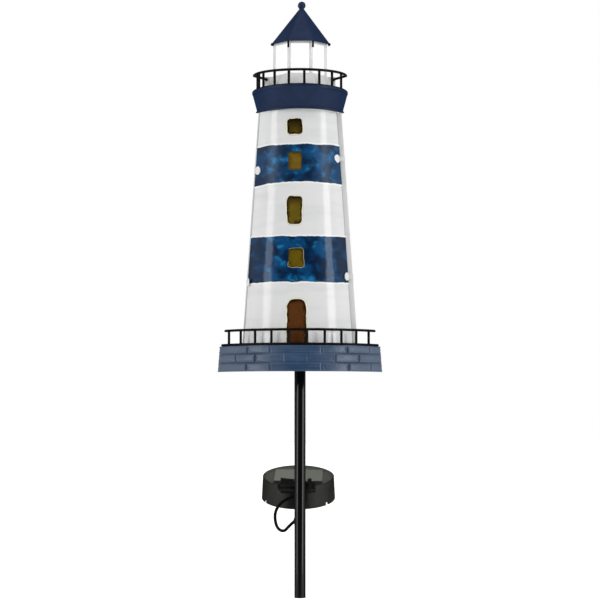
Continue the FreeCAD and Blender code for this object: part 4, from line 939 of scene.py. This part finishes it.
class LIGHTHOUSE_OT_railings(Operator):
    """Welded wire railings of the base and the gallery"""
    bl_idname = "lighthouse.railings"
    bl_label = "Railings"

    def execute(self, context):
        look = context.scene.lighthouse_rails
        # Half-dull black with a fine grain, which lights each wire along one thin line.
        paint = finish("Satin black wire paint", context.scene.lighthouse_paint.wire, 0.42, drift=0.2,
                       grain=0.03 * MM, grain_size=0.7 * MM, shine=0.12)
        group = baluster_group()

        def wired(obj, *nodes):
            return shown(obj, "root", "black_wire_paint", paint, *nodes)

        def balusters(name, *values):
            """A row of balusters from the values of the node group's inputs."""
            obj = link(name, bpy.data.meshes.new(name))
            modifier = obj.modifiers.new("balusters", "NODES")
            modifier.node_group = group
            given = dict(zip(BALUSTER_INPUTS, (*values, look.upright, look.bead, paint), strict=True))
            for item in group.interface.items_tree:
                if item.in_out == "INPUT":
                    modifier[item.identifier] = given[item.name]
            context.view_layer.update()
            smooth(baked(obj).data)
            wired(obj)

        low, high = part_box("base_deck")
        half, _, crown = level("base_deck", high.z)
        radius = bow(half, high.y - crown)
        centre, reach = crown + radius, radius - look.base_setback
        rail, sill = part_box("base_railing")[1].z - look.wire, high.z + look.wire
        rails = joined([bar(arc(reach, look.base_half, centre, rail), look.wire),
                        bar(arc(reach, look.sill_half, centre, sill), look.wire)])
        wired(solid("base_rails", *rails), "base_railing")
        place = reach, centre, sill, rail, 0.0
        balusters("base_balusters", look.base_count, look.base_first, look.base_step, *place)

        reach, centre = look.gallery_radius, look.gallery_centre
        rail, tilt = look.gallery_rail, look.gallery_tilt
        ring = arc(reach, look.gallery_half, centre, rail, tilt=tilt)
        parts = [bar(ring, look.wire)]
        for side, end in ((-1, ring[0]), (1, ring[-1])):
            foot = Vector((side * TAB_ACROSS, TAB_BACK, TAB_HEIGHT))
            parts.append(bar([end, end.lerp(foot, 0.5), foot], look.upright, dome=0.4))
            parts.append(bar([foot, foot + Vector((0, TAB_LENGTH, 0))], TAB_RADIUS, dome=0.3))
        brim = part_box("gallery_collar")[1].z
        radius, turn, middle = collar_edge(brim)
        parts.append(bar(arc(radius - SILL_IN, turn * SILL_SHARE, middle, brim + SILL_RISE), SILL_RADIUS))
        wired(solid("gallery_rails", *joined(parts)), "gallery_railing")
        place = reach, centre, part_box("gallery_deck")[1].z, rail, tilt
        balusters("gallery_balusters", look.gallery_count, look.gallery_first, look.gallery_step, *place)
        balusters("gallery_twin", 2, look.twin, look.twin_step, *place)
        drops = eased_copy("eave_drops", 0.15 * MM)
        swell(drops, lambda p: (p.x > 0, abs(p.x) > OUTER_DROPS), DROP_CHANGES)
        wired(leaned(drops), "eave_drops")
        return {"FINISHED"}


# ---- painted sheet metal ----

def swell(piece, group, changes):
    """Scales each group of a piece's vertices about its own middle, then shifts it."""
    groups = {}
    for vertex in piece.data.vertices:
        groups.setdefault(group(vertex.co), []).append(vertex)
    for key, members in groups.items():
        middle = sum((v.co for v in members), Vector()) / len(members)
        scale, shift = map(Vector, changes[key])
        for vertex in members:
            vertex.co = middle + scale * (vertex.co - middle) + shift * MM


def leaned(piece):
    """Shifts a piece of the roof to the right, more at the top, as the photographed one leans,
    and sinks its eave."""
    low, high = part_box("roof")
    for vertex in piece.data.vertices:
        rise = vertex.co.z - low.z
        vertex.co.x += ROOF_SHIFT + ROOF_LEAN * rise
        vertex.co.z -= EAVE_SINK * min(1, max(0, 1 - rise / (high.z - low.z)))
    return piece


class LIGHTHOUSE_OT_metalwork(Operator):
    """White frame and lantern, navy collar, gallery deck, roof and ball"""
    bl_idname = "lighthouse.metalwork"
    bl_label = "Metalwork"

    def execute(self, context):
        paint = context.scene.lighthouse_paint
        # Clean white with a soft sheen, even enough to look like baked enamel.
        white = "root", "white_paint", finish("Satin white enamel", paint.white, 0.34, drift=0.02,
                                              grain=0.02 * MM, grain_size=1.2 * MM)
        # Navy that drifts a little in tone, so that the flat facets look brushed by hand.
        navy = "root", "navy_paint", finish("Satin navy enamel", paint.navy, 0.36, drift=0.14, patch=0.014,
                                            grain=0.02 * MM, grain_size=1.0 * MM, shine=0.2)
        for node, coat, width in (
                ("tower_frame", white, 0.3), ("top_plate", white, 0.2), ("lantern_frame", white, 0.25),
                ("pole_socket", white, 0.25), ("gallery_deck", navy, 0.3), ("roof", navy, 0.35),
                ("finial_ball", navy, 0.2)):
            piece = eased_copy(node, width * MM)
            if node in {"roof", "finial_ball"}:
                leaned(piece)
            elif node == "gallery_deck":
                # Set back a little behind the railing's lower wire.
                piece.data.transform(Matrix.Diagonal((0.97, 0.97, 1.0, 1.0)))
            elif node == "lantern_frame":
                for vertex in piece.data.vertices:
                    vertex.co.z -= EAVE_SINK if vertex.co.z > POST_HEADS else 0
            shown(piece, *coat, node)

        clips = eased_copy("glass_clips", 0.5 * MM, 3)
        for vertex in clips.data.vertices:
            if STEM_FRONT < vertex.co.y < STEM_BACK:
                vertex.co.y -= STEM_DRAW
        swell(clips, lambda p: (p.x > 0, p.z > HIGH_CLIPS), CLIP_CHANGES)
        shown(clips, *white, "glass_clips")

        shown(eased_copy("gallery_collar", 0.2 * MM), *navy, "gallery_collar")
        parts = []
        for corner, (lift, out) in zip(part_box("gallery_collar"), LIPS):
            radius, turn, middle = collar_edge(corner.z)
            parts.append(bar(arc(radius + out, turn, middle, corner.z + lift), LIP_RADIUS, 12))
        shown(solid("collar_lips", *joined(parts)), *navy)
        return {"FINISHED"}


# ---- pole and solar unit ----

def cell_resin(paint, finger):
    """Grey-green solar cell under resin, with fine fingers, two bus bars and a dark near edge."""
    material, shader, place = blank("Solar cell under resin")
    spot = add(place.id_data, "ShaderNodeSeparateXYZ", {0: read(place, "cell_place", "Vector")}).outputs
    lines = maths("PINGPONG", spot["X"], finger / MM / 2)
    bars = maths("ABSOLUTE", maths("SUBTRACT", maths("ABSOLUTE", spot["Y"]), 15.0))
    tone = mixed(eased(clouds(place, 0.012, 4.0), 0.35, 0.7), paint.cell, "#7E8177", 0.35)
    tone = mixed(eased(lines, 0.28, 0.08), tone, "#8E9187", 0.12)
    tone = mixed(eased(bars, 0.8, 0.5), tone, "#9A9C92", 0.2)
    tone = mixed(eased(spot["Y"], -15.5, -16.5), tone, "#1A1A18")
    feed(shader, {"Base Color": tone, "Roughness": 0.5, "Coat Weight": 0.25, "Coat Roughness": 0.2})
    return material


def housing_plastic(paint):
    """Fine-grained black moulding, with painted light greying its rim and recess, and darkest at the hinge
    block, partly from painted shade under the unit.
    """
    material, shader, place = blank("Grained black housing")
    tone = mixed(eased(clouds(place, 0.025, 4.0), 0.3, 0.75), paint.moulding, "#2D2D2A", 0.5)
    # Painted light on the rim and the recess's floor.
    tone = mixed(eased(read(place, "rim_light"), 0.5, 0.9), tone, "#5C5D57")
    # Darkest at the hinge block: partly its blacker moulding, partly painted shade under the unit.
    tone = mixed(eased(read(place, "hinge"), 0.2, 0.8), tone, "#080808")
    feed(shader, {"Base Color": tone, "Roughness": 0.5, "Specular IOR Level": 0.3,
                  "Normal": relief(clouds(place, 0.0008, 2.0), 0.06 * MM)})
    return material


class LIGHTHOUSE_OT_pole(Operator):
    """Pole, saddle and its screws"""
    bl_idname = "lighthouse.pole"
    bl_label = "Pole and saddle"

    def execute(self, context):
        # The pole is glossy enough to show a bright line down each side, the saddle is dull,
        # and the screws have the grey glint of oiled steel.
        gloss = finish("Gloss black powder coat", context.scene.lighthouse_paint.pole, 0.14, drift=0.1,
                       patch=0.02, rough_drift=0.02, shine=0.36)
        moulding = finish("Grained black moulding", "#0C0C0C", 0.5, drift=0.1, grain=0.05 * MM, shine=0.3)
        steel = finish("Black oxide screw", "#26262A", 0.3, 0.8)
        for node, slot, material, width, segments in (
                ("pole", "black_gloss_paint", gloss, 0.3, 2),
                ("pole_saddle", "black_plastic", moulding, 0.35, 2),
                ("saddle_screws", "black_screw", steel, 0.5, 3)):
            shown(eased_copy(node, width * MM, segments), "root", slot, material, node)
        return {"FINISHED"}


class LIGHTHOUSE_OT_unit(Operator):
    """Solar unit: housing, cell, clamp knob and underside"""
    bl_idname = "lighthouse.unit"
    bl_label = "Solar unit"

    def execute(self, context):
        paint = context.scene.lighthouse_paint
        look = context.scene.lighthouse_unit
        back = Matrix.Rotation(-look.rest_tilt, 3, "X")
        hinge = Vector((0, look.hinge_back, look.hinge_height))
        middle = back @ (sum(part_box("solar_wafer"), Vector()) / 2 - hinge)

        def spots(piece):
            """Places of its vertices from the cell's middle, along the cell, in millimetres."""
            return [(back @ (v.co - hinge) - middle) / MM for v in piece.data.vertices]

        moulding = housing_plastic(paint)
        for node, width in (("solar_housing", 0.6 * MM), ("unit_cover", 0.4 * MM)):
            piece = eased_copy(node, width, 3)
            places = spots(piece)
            # Where the hinge block is, darkened partly as painted shade under the unit.
            attribute(piece.data, "hinge", [float(p.y < (look.block_reach - middle.y) / MM) for p in places])
            # Painted light: a paler grey on the recess's floor and on the flat of the rim round it, where
            # they catch the light.
            attribute(piece.data, "rim_light", [float(abs(p.z) < 1.6 and p.xy.length < 43.6 or
                                                 1.3 < p.z < 2.0 and p.xy.length < 45.3) for p in places])
            shown(piece, "panel", "black_plastic", moulding, node)
        # Smoother than the housing, so that the knob stands out by its glint.
        knob = finish("Smooth black knob", "#101010", 0.35, drift=0.1, grain=0.02 * MM, shine=0.3)
        shown(eased_copy("clamp_knob", 0.4 * MM), "clamp", "black_plastic", knob, "clamp_knob")
        cell = eased_copy("solar_wafer", 0.2 * MM)
        crooked = Matrix.Rotation(-look.cell_turn, 3, "Z")
        places = spots(cell)
        for vertex, spot in zip(cell.data.vertices, places):
            vertex.co = hinge + back.inverted() @ (middle + crooked @ spot * MM)
        attribute(cell.data, "cell_place", places, "FLOAT_VECTOR")
        shown(cell, "panel", "solar_glass", cell_resin(paint, look.finger), "solar_wafer")
        return {"FINISHED"}


class LIGHTHOUSE_OT_fittings(Operator):
    """Finishes for the small fittings and the parts inside"""
    bl_idname = "lighthouse.fittings"
    bl_label = "Fittings"

    def execute(self, context):
        # Plain finishes that tell resin, rubber, nylon and plated metal apart at a glance.
        finishes = {slot: finish(*row) for slot, row in FITTINGS.items()}
        for node, slot in json.loads(context.scene["lighthouse_slots"]).items():
            obj = bpy.data.objects[node]
            if not obj.hide_render:
                obj.data.materials.clear()
                obj.data.materials.append(finishes[slot])
                smooth(obj.data)
        return {"FINISHED"}


class LIGHTHOUSE_PT_panel(Panel):
    bl_idname = "LIGHTHOUSE_PT_panel"
    bl_label = "Garden lighthouse"
    bl_space_type = "VIEW_3D"
    bl_region_type = "UI"
    bl_category = "Lighthouse"

    def draw(self, context):
        layout = self.layout
        for kind in PIECES:
            layout.operator(kind.bl_idname)
        for group in GROUPS:
            settings = getattr(context.scene, group)
            box = layout.box()
            for name in settings.bl_rna.properties.keys():
                if name not in {"rna_type", "name"}:
                    box.prop(settings, name)


GROUPS = {
    "lighthouse_stage": LIGHTHOUSE_PG_stage,
    "lighthouse_paint": LIGHTHOUSE_PG_paint,
    "lighthouse_glass": LIGHTHOUSE_PG_glass,
    "lighthouse_band": LIGHTHOUSE_PG_band,
    "lighthouse_rails": LIGHTHOUSE_PG_rails,
    "lighthouse_unit": LIGHTHOUSE_PG_unit,
}
PIECES = (LIGHTHOUSE_OT_stage, LIGHTHOUSE_OT_lead, LIGHTHOUSE_OT_glass, LIGHTHOUSE_OT_band,
          LIGHTHOUSE_OT_railings, LIGHTHOUSE_OT_metalwork, LIGHTHOUSE_OT_pole, LIGHTHOUSE_OT_unit,
          LIGHTHOUSE_OT_fittings)
CLASSES = (*GROUPS.values(), *PIECES, LIGHTHOUSE_PT_panel)


def register():
    for kind in CLASSES:
        bpy.utils.register_class(kind)
    for name, kind in GROUPS.items():
        setattr(bpy.types.Scene, name, PointerProperty(type=kind))


def unregister():
    for name in GROUPS:
        delattr(bpy.types.Scene, name)
    for kind in reversed(CLASSES):
        bpy.utils.unregister_class(kind)


def main():
    register()
    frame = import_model()
    slots = {part["node"]: part["material_slot"] for part in frame["record"]["subparts"]}
    bpy.context.scene["lighthouse_slots"] = json.dumps(slots)
    for kind in PIECES:
        group, name = kind.bl_idname.split(".")
        getattr(getattr(bpy.ops, group), name)()


if __name__ == "__main__":
    main()
